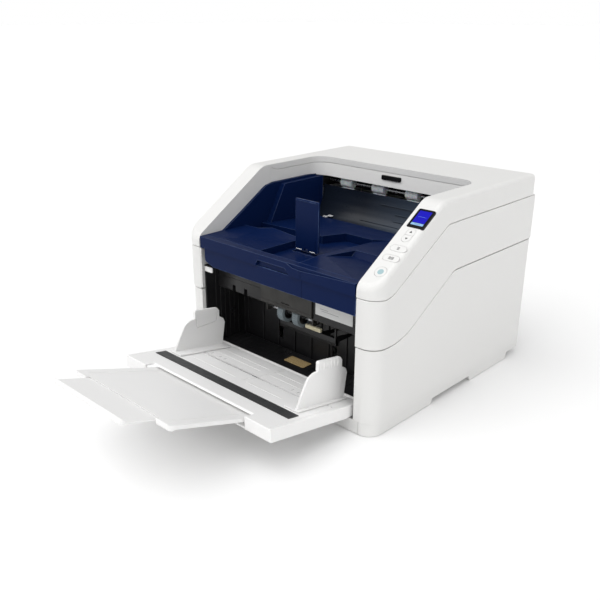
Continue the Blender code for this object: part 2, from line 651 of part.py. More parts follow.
def make_lid():
    """Lid shell with its arms, the output tray, stop flap, exit shafts and panel."""
    half = WIDTH / 2.0
    plan = [
        (-half, 0.0, CORNER_RADIUS), (half, 0.0, CORNER_RADIUS), (half, LID_REAR, 10.0), (-half, LID_REAR, 10.0),
    ]
    lid = slab("lid_shell", plan, 200.0, 420.0, "Z", white)
    profile = lid_seam(GAP) + [
        (DEPTH + 20.0, HEIGHT), (LID_KNEE_Y, HEIGHT, 40.0), (0.0, FRONT_TOP), (-20.0, FRONT_TOP),
    ]
    keep_inside(lid, slab("lid_profile", profile, -half - 10.0, half + 10.0, "X", white))
    bay = BAY_WIDTH / 2.0
    opening = slab(
        "lid_opening",
        [(-bay, -20.0), (bay, -20.0), (bay, LID_FASCIA_Y, 26.0), (-bay, LID_FASCIA_Y, 26.0)],
        150.0, 450.0, "Z", white,
    )
    inner_x, outer_x = bay + WALL, half - WALL
    hollow = slab(
        "lid_hollow",
        [(-outer_x, WALL, 27.0), (-inner_x, WALL), (-inner_x, LID_FASCIA_Y + WALL, 29.0),
         (inner_x, LID_FASCIA_Y + WALL, 29.0), (inner_x, WALL), (outer_x, WALL, 27.0),
         (outer_x, LID_REAR - WALL, 8.0), (-outer_x, LID_REAR - WALL, 8.0)],
        100.0, 420.0, "Z", white,
    )
    drop = WALL / cos(PANEL_SLOPE)
    roof = [
        (-20.0, 100.0), (DEPTH + 20.0, 100.0), (DEPTH + 20.0, HEIGHT - WALL),
        (LID_KNEE_Y + 1.0, HEIGHT - WALL, 38.0), (0.0, FRONT_TOP - drop), (-20.0, FRONT_TOP - drop),
    ]
    keep_inside(hollow, slab("lid_roof", roof, -half - 5.0, half + 5.0, "X", white))
    cut(lid, opening, hollow)
    hinges = [
        slab(
            name,
            [(440.0, 382.0), (440.0, 374.0), (478.0, 366.0), (478.0, 348.0, 4.0), (496.0 - 3.2, 348.0, 4.0),
             (496.0 - 3.2, 382.0)],
            *sorted((side * 150.0, side * 165.0)), "X", steel,
        )
        for name, side in (("left_hinge_arm", -1), ("right_hinge_arm", 1))
    ]
    tray, flap = make_output_tray()
    exit_shaft, idler = make_exit_shafts()
    panel = make_panel()
    lid_pivot = pivot("lid_pivot", (0.0, *LID_HINGE), lid, tray, idler, *hinges)
    hang(lid_pivot, flap, exit_shaft, *panel)


def make_output_tray():
    """Blue tub of the output tray and the flap that stops the stack."""
    half = OUTPUT_HALF_WIDTH
    floor = 262.0
    profile = [
        (0.0, 253.0), (0.0, FRONT_TOP), (6.0, FRONT_TOP), (10.0, floor + 5.0), (130.0, floor + 2.0),
        (OUTPUT_REAR - WALL, 258.0), (OUTPUT_REAR - WALL, 322.0), (OUTPUT_REAR, 322.0),
        (OUTPUT_REAR, 254.0), (130.0, floor - 2.0), (12.0, floor + 1.0), (3.0, floor - 4.0), (3.0, 253.0),
    ]
    tray = slab("output_tray", profile, -half, half, "X", blue)
    wall = [
        (1.0, 262.0), (0.5, FRONT_TOP - 1.0), (150.0, FRONT_TOP + 62.0), (200.0, 345.0),
        (OUTPUT_REAR - 1.0, 345.0), (OUTPUT_REAR - 1.0, 256.0), (130.0, 261.0),
    ]
    walls = [
        slab("output_wall_%d" % index, wall, *sorted((side * half, side * (half - 3.0))), "X", blue)
        for index, side in enumerate((-1, 1))
    ]
    plate = [
        (2.0, FRONT_TOP - 3.0), (2.0, FRONT_TOP - 0.2), (133.0, FRONT_TOP - 0.2), (133.0, 255.5),
        (130.0, 261.5), (130.0, FRONT_TOP - 3.0),
    ]
    raised = slab("output_plate", plate, -half + 1.0, -47.0, "X", blue)
    join(tray, *walls, raised)
    cut(
        tray,
        box("finger_recess", (-38.0, 36.0), (-5.0, 2.9), (240.0, 265.0), blue),
        box("flap_recess", (-FLAP_HALF_WIDTH - 3.0, FLAP_HALF_WIDTH + 3.0), (FLAP_Y - 8.0, FLAP_Y + 6.0),
            (250.0, FLAP_PIN_Z + 10.0), blue),
    )
    flap = box("stop_flap", (-FLAP_HALF_WIDTH, FLAP_HALF_WIDTH), (FLAP_Y - 1.8, FLAP_Y + 1.8),
               (FLAP_PIN_Z - 3.0, FLAP_PIN_Z + FLAP_HEIGHT), blue)
    return tray, pivot("flap_pivot", (0.0, FLAP_Y, FLAP_PIN_Z), flap)


def make_exit_shafts():
    """Driven exit rollers on their shaft, and the thin idlers under them."""
    stations = [(-184.0, 0.0), (-184.0, 3.0)]
    thin = [(-176.0, 0.0), (-176.0, 1.5)]
    for x in EXIT_ROLLERS_X:
        low, high = x - EXIT_ROLLER_WIDTH / 2.0, x + EXIT_ROLLER_WIDTH / 2.0
        stations += [(low, 3.0), (low, EXIT_RADIUS), (high, EXIT_RADIUS), (high, 3.0)]
        thin += [(low, 1.5), (low, 4.0), (high, 4.0), (high, 1.5)]
    stations += [(184.0, 3.0), (184.0, 0.0)]
    thin += [(176.0, 1.5), (176.0, 0.0)]
    shaft = turned("exit_shaft", stations, EXIT_AXIS, rollers_grey)
    y, z = EXIT_AXIS
    idler = turned("exit_idlers", thin, (y, z - EXIT_RADIUS - 4.6), rollers_grey, 12)
    return pivot("exit_shaft_pivot", (0.0, *EXIT_AXIS), shaft), idler


def panel_slab(name, points, low, high, material):
    """An outline on the panel's slope, (across, along), between two heights above it."""
    piece = slab(name, points, low, high, "Z", material)
    back = Matrix.Translation(at(0.0, 0.0, 0.0)).inverted()
    lean = Matrix.Rotation(PANEL_SLOPE, 4, "X")
    piece.data.transform(Matrix.Translation(at(PANEL_X, 0.0, FRONT_TOP)) @ lean @ back)
    return piece


def pill(width, height, along, middle=0.0):
    """Outline with round ends, centred at a distance up the slope."""
    radius = min(width, height) / 2.0 - 0.01
    a, b = width / 2.0, height / 2.0
    return [
        (middle - a, along - b, radius), (middle + a, along - b, radius),
        (middle + a, along + b, radius), (middle - a, along + b, radius),
    ]


def make_panel():
    """Display and five push buttons, which sit in pockets cut in the right arm."""
    lid = bpy.data.objects["lid_shell"]
    a, b = DISPLAY[0] / 2.0, DISPLAY[1] / 2.0
    corner = [
        (-a, DISPLAY_ALONG - b, 3.0), (a, DISPLAY_ALONG - b, 3.0),
        (a, DISPLAY_ALONG + b, 3.0), (-a, DISPLAY_ALONG + b, 3.0),
    ]
    wide = [
        (-a - GAP, DISPLAY_ALONG - b - GAP), (a + GAP, DISPLAY_ALONG - b - GAP),
        (a + GAP, DISPLAY_ALONG + b + GAP), (-a - GAP, DISPLAY_ALONG + b + GAP),
    ]
    cut(lid, panel_slab("display_window", wide, -20.0, 20.0, black))
    display = panel_slab("display", corner, -4.0, 0.4, black)
    panel = [display]
    shapes = (
        ("up_button", 16.0, 14.6, 129.0), ("down_button", 16.0, 14.6, 113.2),
        ("one_side_button", *PILL_BUTTON, 90.0), ("two_side_button", *PILL_BUTTON, 67.5),
        ("start_button", 2.0 * START_RADIUS, 2.0 * START_RADIUS, 36.5),
    )
    for name, width, height, along in shapes:
        window = pill(width + 2.0 * GAP, height + 2.0 * GAP, along)
        cut(lid, panel_slab(name + "_window", window, -20.0, 20.0, white))
        button = panel_slab(name, pill(width, height, along), -4.0, 0.5, white)
        y, z = on_slope(along, 0.0)
        panel.append(pivot(name + "_pivot", (PANEL_X, y, z), button))
    y, z = LID_FASCIA_Y - 1.0, 364.0
    badge = slab(
        "lid_badge",
        [(-12.0, z - 5.5, 2.5), (42.0, z - 5.5, 2.5), (42.0, z + 5.5, 2.5), (-12.0, z + 5.5, 2.5)],
        y - 0.6, LID_FASCIA_Y - GAP, "Y", black,
    )
    return panel + [badge]


clear_scene()
parts = new_collection(PARTS)
cutters = new_collection("cutters")
white = finish("warm_white_plastic", (0.78, 0.77, 0.74), 0.42)
blue = finish("navy_plastic", (0.018, 0.035, 0.14), 0.38)
black = finish("black_plastic", (0.012, 0.012, 0.013), 0.45)
dark = finish("dark_grey_plastic", (0.045, 0.045, 0.042), 0.5)
grey = finish("grey_plastic", (0.2, 0.2, 0.21), 0.5)
steel = finish("zinc_steel", (0.55, 0.56, 0.57), 0.35, 1.0)
rubber = finish("black_rubber", (0.02, 0.02, 0.02), 0.8)
rollers_grey = finish("pale_roller_rubber", (0.62, 0.68, 0.7), 0.5)
glass = finish("scan_glass", (0.5, 0.6, 0.58), 0.05)
board = finish("circuit_board", (0.02, 0.16, 0.07), 0.45)
paper = finish("label_film", (0.72, 0.72, 0.72), 0.5)
cream = finish("cream_plastic", (0.7, 0.66, 0.5), 0.5)
tan_pad = finish("tan_cork_rubber", (0.5, 0.38, 0.2), 0.8)

make_base()
make_rear()
make_frame()
make_feed_bay()
make_input_tray()
make_lid()
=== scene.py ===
"""Sheet fed document scanner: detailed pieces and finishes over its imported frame.

Lengths in the makers are millimetres: X across the machine, Y back from the front face of
its pillars, Z up from the table. at() turns them into metres in the frame.
"""
import json
from math import atan2, cos, hypot, pi, radians, sin, tan

import bmesh
import bpy
from bpy.props import FloatProperty, FloatVectorProperty, IntProperty, PointerProperty
from mathutils import Matrix, Vector

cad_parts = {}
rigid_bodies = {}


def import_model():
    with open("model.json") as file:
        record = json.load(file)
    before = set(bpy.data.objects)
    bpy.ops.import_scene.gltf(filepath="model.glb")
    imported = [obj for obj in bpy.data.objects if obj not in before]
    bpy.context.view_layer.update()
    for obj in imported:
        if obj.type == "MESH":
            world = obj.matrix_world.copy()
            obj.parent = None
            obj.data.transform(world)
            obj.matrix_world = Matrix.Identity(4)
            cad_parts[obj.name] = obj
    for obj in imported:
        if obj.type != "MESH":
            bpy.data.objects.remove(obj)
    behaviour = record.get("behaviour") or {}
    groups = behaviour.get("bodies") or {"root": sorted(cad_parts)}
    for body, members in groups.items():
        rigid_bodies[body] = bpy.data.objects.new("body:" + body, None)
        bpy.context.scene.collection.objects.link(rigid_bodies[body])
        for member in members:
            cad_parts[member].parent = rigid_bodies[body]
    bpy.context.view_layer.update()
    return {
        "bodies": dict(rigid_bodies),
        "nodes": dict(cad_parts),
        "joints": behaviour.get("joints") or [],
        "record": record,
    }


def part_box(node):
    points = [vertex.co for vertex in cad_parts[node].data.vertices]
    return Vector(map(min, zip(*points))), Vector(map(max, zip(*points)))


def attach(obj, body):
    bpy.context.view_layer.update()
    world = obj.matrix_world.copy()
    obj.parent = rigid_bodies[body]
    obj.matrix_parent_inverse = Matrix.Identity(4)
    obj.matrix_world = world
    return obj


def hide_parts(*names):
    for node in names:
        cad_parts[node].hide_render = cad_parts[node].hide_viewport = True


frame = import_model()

bl_info = {
    "name": "Sheet Fed Scanner",
    "version": (1, 0, 0),
    "blender": (4, 5, 0),
    "location": "3D View > Sidebar > Scanner",
    "description": "Builds a sheet fed document scanner over its frame",
    "category": "Object",
}

MM = 0.001
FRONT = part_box("left_band")[0].y / MM
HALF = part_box("right_band")[1].x / MM
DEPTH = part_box("right_band")[1].y / MM - FRONT
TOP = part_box("lid_shell")[1].z / MM
BAY = 199.0
LID_FRONT = 276.0
KNEE = 175.0
SLOPE = atan2(TOP - LID_FRONT, KNEE)
PANEL_X = 222.5
TRAY_TILT = radians(10.12)
EXTENSION_TILT = radians(18.0)
NODES = frame["nodes"]


# Settings ---------------------------------------------------------------------------------

def colour(name, description, default):
    return FloatVectorProperty(
        name=name, description=description, subtype="COLOR", size=3, min=0.0, max=1.0, default=default
    )


def length(name, description, millimetres):
    return FloatProperty(
        name=name, description=description, subtype="DISTANCE", unit="LENGTH", min=0.0,
        default=millimetres * MM,
    )


class HousingSettings(bpy.types.PropertyGroup):
    shell: colour("Shell", "Warm white of the moulded covers", (0.76, 0.757, 0.745))
    lid_radius: length("Lid edge radius", "Rounding of the lid's outer top edges", 9.0)
    opening_radius: length("Opening edge radius", "Rounding of the lid's opening", 2.6)
    seam_radius: length("Seam radius", "Rounding where two covers meet", 1.1)
    vent_count: IntProperty(name="Vent slots", description="Slots in each rear vent", default=14, min=1)


class PanelSettings(bpy.types.PropertyGroup):
    screen: colour("Screen", "Ground colour of the lit display", (0.012, 0.01, 0.5))
    status: colour("Status bar", "Colour of the bar along the foot of the display", (0.35, 0.62, 0.95))
    start_light: colour("Start light", "Glow behind the start button", (0.6, 0.85, 0.9))
    groove: length("Groove", "Gap round each button", 0.45)


class OutputSettings(bpy.types.PropertyGroup):
    navy: colour("Navy", "Colour of the output tray", (0.0028, 0.011, 0.056))
    edge_radius: length("Edge radius", "Rounding of the tray's folds", 0.9)
    chute_steps: IntProperty(name="Chute steps", description="Low steps on the chute", default=5, min=1)


class FeedSettings(bpy.types.PropertyGroup):
    liner: colour("Liner", "Colour of the black feed bay", (0.008, 0.008, 0.009))
    rib_pitch: length("Rib pitch", "Distance between the ribs on the bay's side walls", 12.0)
    roller_teeth: IntProperty(name="Roller teeth", description="Ribs on a pick roller", default=28, min=8)


class InputSettings(bpy.types.PropertyGroup):
    groove: length("Groove", "Width of the marks along the tray", 0.8)
    grip_ribs: IntProperty(name="Grip ribs", description="Ribs on each guide's tab", default=6, min=2)
    edge_radius: length("Edge radius", "Rounding of the tray's edges", 1.6)


class StageSettings(bpy.types.PropertyGroup):
    floor: colour("Floor", "Pale floor", (0.97, 0.97, 0.97))
    sky: FloatProperty(name="Sky", description="Strength of the light from all round", default=0.47, min=0.0)
    key: FloatProperty(name="Key", description="Strength of the soft light from above", default=1.95, min=0.0)
    fill: FloatProperty(name="Fill", description="Strength of the soft light from the right", default=0.58, min=0.0)
    focal: FloatProperty(name="Focal length", description="Camera lens", default=44.57, min=1.0,
                         unit="CAMERA")


# Shapes -----------------------------------------------------------------------------------

def at(x, y, z):
    return Vector((x, FRONT + y, z)) * MM


def rounded(points):
    """Each (a, b, radius) corner of a closed outline becomes an arc."""
    outline = []
    for index, point in enumerate(points):
        if len(point) == 2:
            outline.append(tuple(point))
            continue
        corner, radius = Vector(point[:2]), point[2]
        back = (Vector(points[index - 1][:2]) - corner).normalized()
        ahead = (Vector(points[(index + 1) % len(points)][:2]) - corner).normalized()
        half = back.angle(ahead) / 2.0
        reach = radius / tan(half)
        middle = corner + (back + ahead).normalized() * (radius / sin(half))
        first = corner + back * reach - middle
        sweep = first.angle_signed(corner + ahead * reach - middle)
        steps = max(3, min(16, round(abs(sweep) * (2.0 + radius ** 0.5))))
        for step in range(steps + 1):
            spoke = first.copy()
            spoke.rotate(Matrix.Rotation(-sweep * step / steps, 2))
            outline.append(tuple(middle + spoke))
    return outline


def new_piece(name, work):
    bmesh.ops.recalc_face_normals(work, faces=work.faces)
    mesh = bpy.data.meshes.new(name)
    work.to_mesh(mesh)
    work.free()
    piece = bpy.data.objects.new(name, mesh)
    bpy.context.scene.collection.objects.link(piece)
    return piece


def spot(axis, depth, a, b):
    """(y, z) along X, (x, z) along Y or (x, y) along Z."""
    if axis == "X":
        return at(depth, a, b)
    if axis == "Y":
        return at(a, depth, b)
    return at(a, b, depth)


def prism(name, points, low, high, axis="X"):
    """An outline pulled along an axis."""
    work = bmesh.new()
    rim = [work.verts.new(spot(axis, low, a, b)) for a, b in rounded(points)]
    grown = bmesh.ops.extrude_face_region(work, geom=[work.faces.new(rim)])
    far = [item for item in grown["geom"] if isinstance(item, bmesh.types.BMVert)]
    bmesh.ops.translate(work, vec=spot(axis, high, 0, 0) - spot(axis, low, 0, 0), verts=far)
    return new_piece(name, work)


def block(name, x, y, z):
    return prism(name, [(x[0], y[0]), (x[1], y[0]), (x[1], y[1]), (x[0], y[1])], z[0], z[1], "Z")


def mound(name, corners, base):
    """A solid under one facet, given by its (x, y, z) corners, down to a level base."""
    work = bmesh.new()
    top = [work.verts.new(at(*corner)) for corner in corners]
    foot = [work.verts.new(at(x, y, base)) for x, y, _ in corners]
    work.faces.new(top)
    work.faces.new(foot[::-1])
    for index in range(len(top)):
        after = (index + 1) % len(top)
        work.faces.new((top[index], foot[index], foot[after], top[after]))
    return new_piece(name, work)


def lathe(name, stations, centre, sides=40, axis="X"):
    """(distance, radius) stations turned round an axis through centre."""
    work = bmesh.new()
    rings = []
    for along, radius in stations:
        if radius == 0.0:
            rings.append([work.verts.new(spot(axis, along, *centre))])
            continue
        turns = [2.0 * pi * step / sides for step in range(sides)]
        rings.append([
            work.verts.new(spot(axis, along, centre[0] + radius * cos(turn), centre[1] + radius * sin(turn)))
            for turn in turns
        ])
    for first, second in zip(rings, rings[1:]):
        for step in range(sides):
            after = (step + 1) % sides
            loop = [first[step % len(first)], first[after % len(first)],
                    second[after % len(second)], second[step % len(second)]]
            loop = [corner for n, corner in enumerate(loop) if corner not in loop[:n]]
            if len(loop) > 2:
                work.faces.new(loop)
    return new_piece(name, work)


def settle(piece):
    """Apply the modifiers into a plain mesh."""
    graph = bpy.context.evaluated_depsgraph_get()
    mesh = bpy.data.meshes.new_from_object(piece.evaluated_get(graph), depsgraph=graph)
    piece.modifiers.clear()
    old = piece.data
    piece.data = mesh
    bpy.data.meshes.remove(old)
    return piece


def discard(*tools):
    for tool in tools:
        mesh = tool.data
        bpy.data.objects.remove(tool, do_unlink=True)
        bpy.data.meshes.remove(mesh)


def carve(piece, *tools, operation="DIFFERENCE"):
    """Cut, join or keep with each tool in turn; the tools are used up."""
    for tool in tools:
        modifier = piece.modifiers.new("Boolean", "BOOLEAN")
        modifier.operation = operation
        modifier.solver = "MANIFOLD"
        modifier.object = tool
        settle(piece)
    discard(*tools)
    return piece


def join(piece, *tools):
    return carve(piece, *tools, operation="UNION")


def keep(piece, tool):
    return carve(piece, tool, operation="INTERSECT")


def gather(name, *pieces):
    """Several shapes in one piece, without a Boolean."""
    work = bmesh.new()
    for piece in pieces:
        work.from_mesh(piece.data)
    discard(*pieces)
    return new_piece(name, work)


def ease(piece, width, where=None, segments=3, angle=22.0):
    """Round the sharp edges that where(middle, normals) gives a share of the width."""
    work = bmesh.new()
    work.from_mesh(piece.data)
    bmesh.ops.remove_doubles(work, verts=work.verts, dist=2e-6)
    bmesh.ops.dissolve_limit(work, angle_limit=radians(0.4), verts=work.verts, edges=work.edges)
    share = work.edges.layers.float.get("bevel_weight_edge") or work.edges.layers.float.new("bevel_weight_edge")
    for edge in work.edges:
        edge[share] = 0.0
        if len(edge.link_faces) != 2 or edge.calc_face_angle(0.0) < radians(angle):
            continue
        middle = (edge.verts[0].co + edge.verts[1].co) / 2.0 / MM
        middle.y -= FRONT
        normals = [face.normal.copy() for face in edge.link_faces]
        edge[share] = 1.0 if where is None else float(where(middle, normals))
    work.to_mesh(piece.data)
    work.free()
    bevel = piece.modifiers.new("Bevel", "BEVEL")
    bevel.width = width * MM
    bevel.segments = segments
    bevel.limit_method = "WEIGHT"
    bevel.miter_outer = "MITER_ARC"
    bevel.use_clamp_overlap = True
    bevel.material = 1
    piece.data.materials.clear()
    for _ in range(2):
        piece.data.materials.append(None)
    settle(piece)
    mark_edges_for_wear_and_highlight(piece.data)
    return piece


def mark_edges_for_wear_and_highlight(mesh):
    """Keep where the rounded edges are, for the finish to lighten as edge wear and, on the navy, as a painted
    highlight.
    """
    edge_wear_and_highlight = mesh.attributes.get("edge_wear_and_highlight") or mesh.attributes.new("edge_wear_and_highlight", "FLOAT", "CORNER")
    for polygon in mesh.polygons:
        if polygon.material_index == 1:
            polygon.material_index = 0
            for corner in polygon.loop_indices:
                edge_wear_and_highlight.data[corner].value = 1.0
    mesh.materials.clear()


def smooth(piece, angle=40.0):
    mesh = piece.data
    mesh.shade_smooth()
    mesh.set_sharp_from_angle(angle=radians(angle))
    weighted = piece.modifiers.new("Normals", "WEIGHTED_NORMAL")
    weighted.keep_sharp = True
    return settle(piece)


def highlight_beads_on_folds(name, piece, radius, angle=14.0):
    """A small bead along each outward fold of a piece, carrying a painted highlight line along the fold."""
    source = bmesh.new()
    source.from_mesh(piece.data)
    bmesh.ops.remove_doubles(source, verts=source.verts, dist=2e-6)
    bmesh.ops.dissolve_limit(source, angle_limit=radians(0.6), verts=source.verts, edges=source.edges)
    work = bmesh.new()
    for edge in source.edges:
        if len(edge.link_faces) != 2 or not edge.is_convex or edge.calc_face_angle(0.0) < radians(angle):
            continue
        first, second = (vertex.co for vertex in edge.verts)
        if min(first.z, second.z) < 0.2575:
            continue
        turn = (second - first).to_track_quat("Z", "Y").to_matrix().to_4x4()
        bmesh.ops.create_cone(work, cap_ends=True, segments=6, radius1=radius * MM, radius2=radius * MM,
                              depth=edge.calc_length(), matrix=Matrix.Translation((first + second) / 2.0) @ turn)
    source.free()
    return new_piece(name, work)


def mount(piece, finish, body, slot, *nodes, angle=40.0):
    """Smooth, paint and hang a finished piece on its body, in place of its nodes."""
    smooth(piece, angle)
    piece.data.materials.clear()
    piece.data.materials.append(finish)
    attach(piece, body)
    if nodes:
        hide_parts(*nodes)
    return piece


def paint(node, finish):
    """A finish for a frame node whose shape stays."""
    mesh = NODES[node].data
    mesh.materials.clear()
    mesh.materials.append(finish)
    return NODES[node]


def on_panel(across, along, proud=0.0):
    y = along * cos(SLOPE) - proud * sin(SLOPE)
    z = LID_FRONT + along * sin(SLOPE) + proud * cos(SLOPE)
    return at(PANEL_X + across, y, z)


def leaning_prism(name, points, low, high, origin, lean):
    """An outline drawn flat, pulled up between two heights, then leant back about X."""
    piece = prism(name, points, low, high, "Z")
    turn = Matrix.Rotation(lean, 4, "X")
    piece.data.transform(Matrix.Translation(at(*origin)) @ turn @ Matrix.Translation(-at(0.0, 0.0, 0.0)))
    return piece


def panel_prism(name, points, low, high):
    """An outline (across, along) on the sloping panel, between two heights over it."""
    return leaning_prism(name, points, low, high, (PANEL_X, 0.0, LID_FRONT), SLOPE)


def oblong(width, height, along, radius, across=0.0):
    a, b, r = width / 2.0, height / 2.0, min(radius, width / 2.0 - 0.01, height / 2.0 - 0.01)
    return [(across - a, along - b, r), (across + a, along - b, r),
            (across + a, along + b, r), (across - a, along + b, r)]


# Geometry Nodes ---------------------------------------------------------------------------

def row_tree():
    """A part repeated along a straight row, with a count, a start and a step."""
    tree = bpy.data.node_groups.new("Row of parts", "GeometryNodeTree")
    face = tree.interface
    face.new_socket("Geometry", in_out="INPUT", socket_type="NodeSocketGeometry")
    for label, kind in (("Part", "NodeSocketObject"), ("Count", "NodeSocketInt"),
                        ("Start", "NodeSocketVector"), ("Step", "NodeSocketVector"),
                        ("Finish", "NodeSocketMaterial")):
        face.new_socket(label, in_out="INPUT", socket_type=kind)
    face.new_socket("Geometry", in_out="OUTPUT", socket_type="NodeSocketGeometry")
    add, link = tree.nodes.new, tree.links.new
    given, made = add("NodeGroupInput"), add("NodeGroupOutput")
    row = add("GeometryNodeMeshLine")
    row.mode = "OFFSET"
    part = add("GeometryNodeObjectInfo")
    part.transform_space = "ORIGINAL"
    spread = add("GeometryNodeInstanceOnPoints")
    realize = add("GeometryNodeRealizeInstances")
    cover = add("GeometryNodeSetMaterial")
    link(given.outputs["Count"], row.inputs["Count"])
    link(given.outputs["Start"], row.inputs["Start Location"])
    link(given.outputs["Step"], row.inputs["Offset"])
    link(given.outputs["Part"], part.inputs["Object"])
    link(row.outputs["Mesh"], spread.inputs["Points"])
    link(part.outputs["Geometry"], spread.inputs["Instance"])
    link(spread.outputs["Instances"], realize.inputs["Geometry"])
    link(realize.outputs["Geometry"], cover.inputs["Geometry"])
    link(given.outputs["Finish"], cover.inputs["Material"])
    link(cover.outputs["Geometry"], made.inputs["Geometry"])
    return tree


def wheel_tree():
    """A part repeated round an axis along X, with a count and a centre."""
    tree = bpy.data.node_groups.new("Wheel of parts", "GeometryNodeTree")
    face = tree.interface
    face.new_socket("Geometry", in_out="INPUT", socket_type="NodeSocketGeometry")
    for label, kind in (("Part", "NodeSocketObject"), ("Count", "NodeSocketInt"),
                        ("Centre", "NodeSocketVector"), ("Finish", "NodeSocketMaterial")):
        face.new_socket(label, in_out="INPUT", socket_type=kind)
    face.new_socket("Geometry", in_out="OUTPUT", socket_type="NodeSocketGeometry")
    add, link = tree.nodes.new, tree.links.new
    given, made = add("NodeGroupInput"), add("NodeGroupOutput")
    points = add("GeometryNodeMeshLine")
    points.inputs["Offset"].default_value = (0.0, 0.0, 0.0)
    index = add("GeometryNodeInputIndex")
    share = add("ShaderNodeMath")
    share.operation = "DIVIDE"
    whole = add("ShaderNodeMath")
    whole.operation = "MULTIPLY"
    whole.inputs[1].default_value = 2.0 * pi
    turn = add("ShaderNodeCombineXYZ")
    part = add("GeometryNodeObjectInfo")
    part.transform_space = "ORIGINAL"
    spread = add("GeometryNodeInstanceOnPoints")
    realize = add("GeometryNodeRealizeInstances")
    cover = add("GeometryNodeSetMaterial")
    link(given.outputs["Count"], points.inputs["Count"])
    link(given.outputs["Centre"], points.inputs["Start Location"])
    link(index.outputs["Index"], share.inputs[0])
    link(given.outputs["Count"], share.inputs[1])
    link(share.outputs["Value"], whole.inputs[0])
    link(whole.outputs["Value"], turn.inputs["X"])
    link(given.outputs["Part"], part.inputs["Object"])
    link(points.outputs["Mesh"], spread.inputs["Points"])
    link(part.outputs["Geometry"], spread.inputs["Instance"])
    link(turn.outputs["Vector"], spread.inputs["Rotation"])
    link(spread.outputs["Instances"], realize.inputs["Geometry"])
    link(realize.outputs["Geometry"], cover.inputs["Geometry"])
    link(given.outputs["Finish"], cover.inputs["Material"])
    link(cover.outputs["Geometry"], made.inputs["Geometry"])
    return tree


def repeat(name, tree, part, finish=None, **values):
    """Run a repeating tree on a part, and keep the result as a plain piece."""
    piece = bpy.data.objects.new(name, bpy.data.meshes.new(name))
    bpy.context.scene.collection.objects.link(piece)
    modifier = piece.modifiers.new("Repeat", "NODES")
    modifier.node_group = tree
    sockets = {item.name: item.identifier for item in tree.interface.items_tree if item.in_out == "INPUT"}
    modifier[sockets["Part"]] = part
    if finish:
        modifier[sockets["Finish"]] = finish
    for label, value in values.items():
        modifier[sockets[label.title()]] = value
    settle(piece)
    discard(part)
    return piece


def along_row(name, part, count, step, finish=None):
    return repeat(name, trees["row"], part, finish, count=count, start=(0.0, 0.0, 0.0),
                  step=tuple(Vector(step) * MM))


# Finishes ---------------------------------------------------------------------------------

class Finish:
    """A node material built up from Object coordinates."""

    def __init__(self, name, tint, roughness, metallic=0.0, **sockets):
        self.material = bpy.data.materials.new(name)
        self.material.use_nodes = True
        self.tree = self.material.node_tree
        self.shader = self.tree.nodes["Principled BSDF"]
        self.tint = tint
        self.shader.inputs["Base Color"].default_value = (*tint, 1.0)
        self.shader.inputs["Roughness"].default_value = roughness
        self.shader.inputs["Metallic"].default_value = metallic
        for label, value in sockets.items():
            self.shader.inputs[label.replace("_", " ").title().replace("Ior", "IOR")].default_value = value
        self.place = self.add("ShaderNodeTexCoord").outputs["Object"]
        self.height = None

    def add(self, kind, **values):
        node = self.tree.nodes.new(kind)
        for label, value in values.items():
            setattr(node, label, value)
        return node

    def link(self, source, target):
        self.tree.links.new(source, target)

    def stretched(self, scale):
        mapping = self.add("ShaderNodeMapping")
        mapping.inputs["Scale"].default_value = scale
        self.link(self.place, mapping.inputs["Vector"])
        return mapping.outputs["Vector"]

    def noise(self, scale, detail=3.0, stretch=None, roughness=0.55):
        node = self.add("ShaderNodeTexNoise")
        node.inputs["Scale"].default_value = scale
        node.inputs["Detail"].default_value = detail
        node.inputs["Roughness"].default_value = roughness
        self.link(self.stretched(stretch) if stretch else self.place, node.inputs["Vector"])
        return node.outputs["Fac"]

    def cells(self, scale, feature="F1", stretch=None):
        node = self.add("ShaderNodeTexVoronoi", feature=feature)
        node.inputs["Scale"].default_value = scale
        self.link(self.stretched(stretch) if stretch else self.place, node.inputs["Vector"])
        return node.outputs["Distance"]

    def spread(self, value, low, high, start=0.0, end=1.0):
        node = self.add("ShaderNodeMapRange")
        for label, number in (("From Min", start), ("From Max", end), ("To Min", low), ("To Max", high)):
            node.inputs[label].default_value = number
        self.link(value, node.inputs["Value"])
        return node.outputs["Result"]

    def blend(self, share, other):
        """Mix the present colour towards another by a share."""
        node = self.add("ShaderNodeMix", data_type="RGBA")
        socket = self.shader.inputs["Base Color"]
        if socket.is_linked:
            self.link(socket.links[0].from_socket, node.inputs[6])
        else:
            node.inputs[6].default_value = socket.default_value
        node.inputs[7].default_value = (*other, 1.0)
        self.link(share, node.inputs[0])
        self.link(node.outputs[2], socket)
        return self

    def rough(self, value, low, high, start=0.3, end=0.7):
        self.link(self.spread(value, low, high, start, end), self.shader.inputs["Roughness"])
        return self

    def bump(self, value, distance, strength=0.5):
        node = self.add("ShaderNodeBump")
        node.inputs["Distance"].default_value = distance * MM
        node.inputs["Strength"].default_value = strength
        self.link(value, node.inputs["Height"])
        if self.height:
            self.link(self.height, node.inputs["Normal"])
        self.height = node.outputs["Normal"]
        self.link(self.height, self.shader.inputs["Normal"])
        return self

    def lighten_edges_wear_and_highlight(self, other, amount):
        """Lighten along the rounded edges: edge wear, and on the navy plastic a painted highlight along the folds."""
        node = self.add("ShaderNodeAttribute", attribute_name="edge_wear_and_highlight")
        patch = self.spread(self.noise(60.0, 4.0), 0.35, 1.0, 0.4, 0.6)
        share = self.add("ShaderNodeMath", operation="MULTIPLY")
        self.link(node.outputs["Fac"], share.inputs[0])
        self.link(patch, share.inputs[1])
        return self.blend(self.spread(share.outputs[0], 0.0, amount), other)


def darker(tint, factor):
    return tuple(channel * factor for channel in tint)


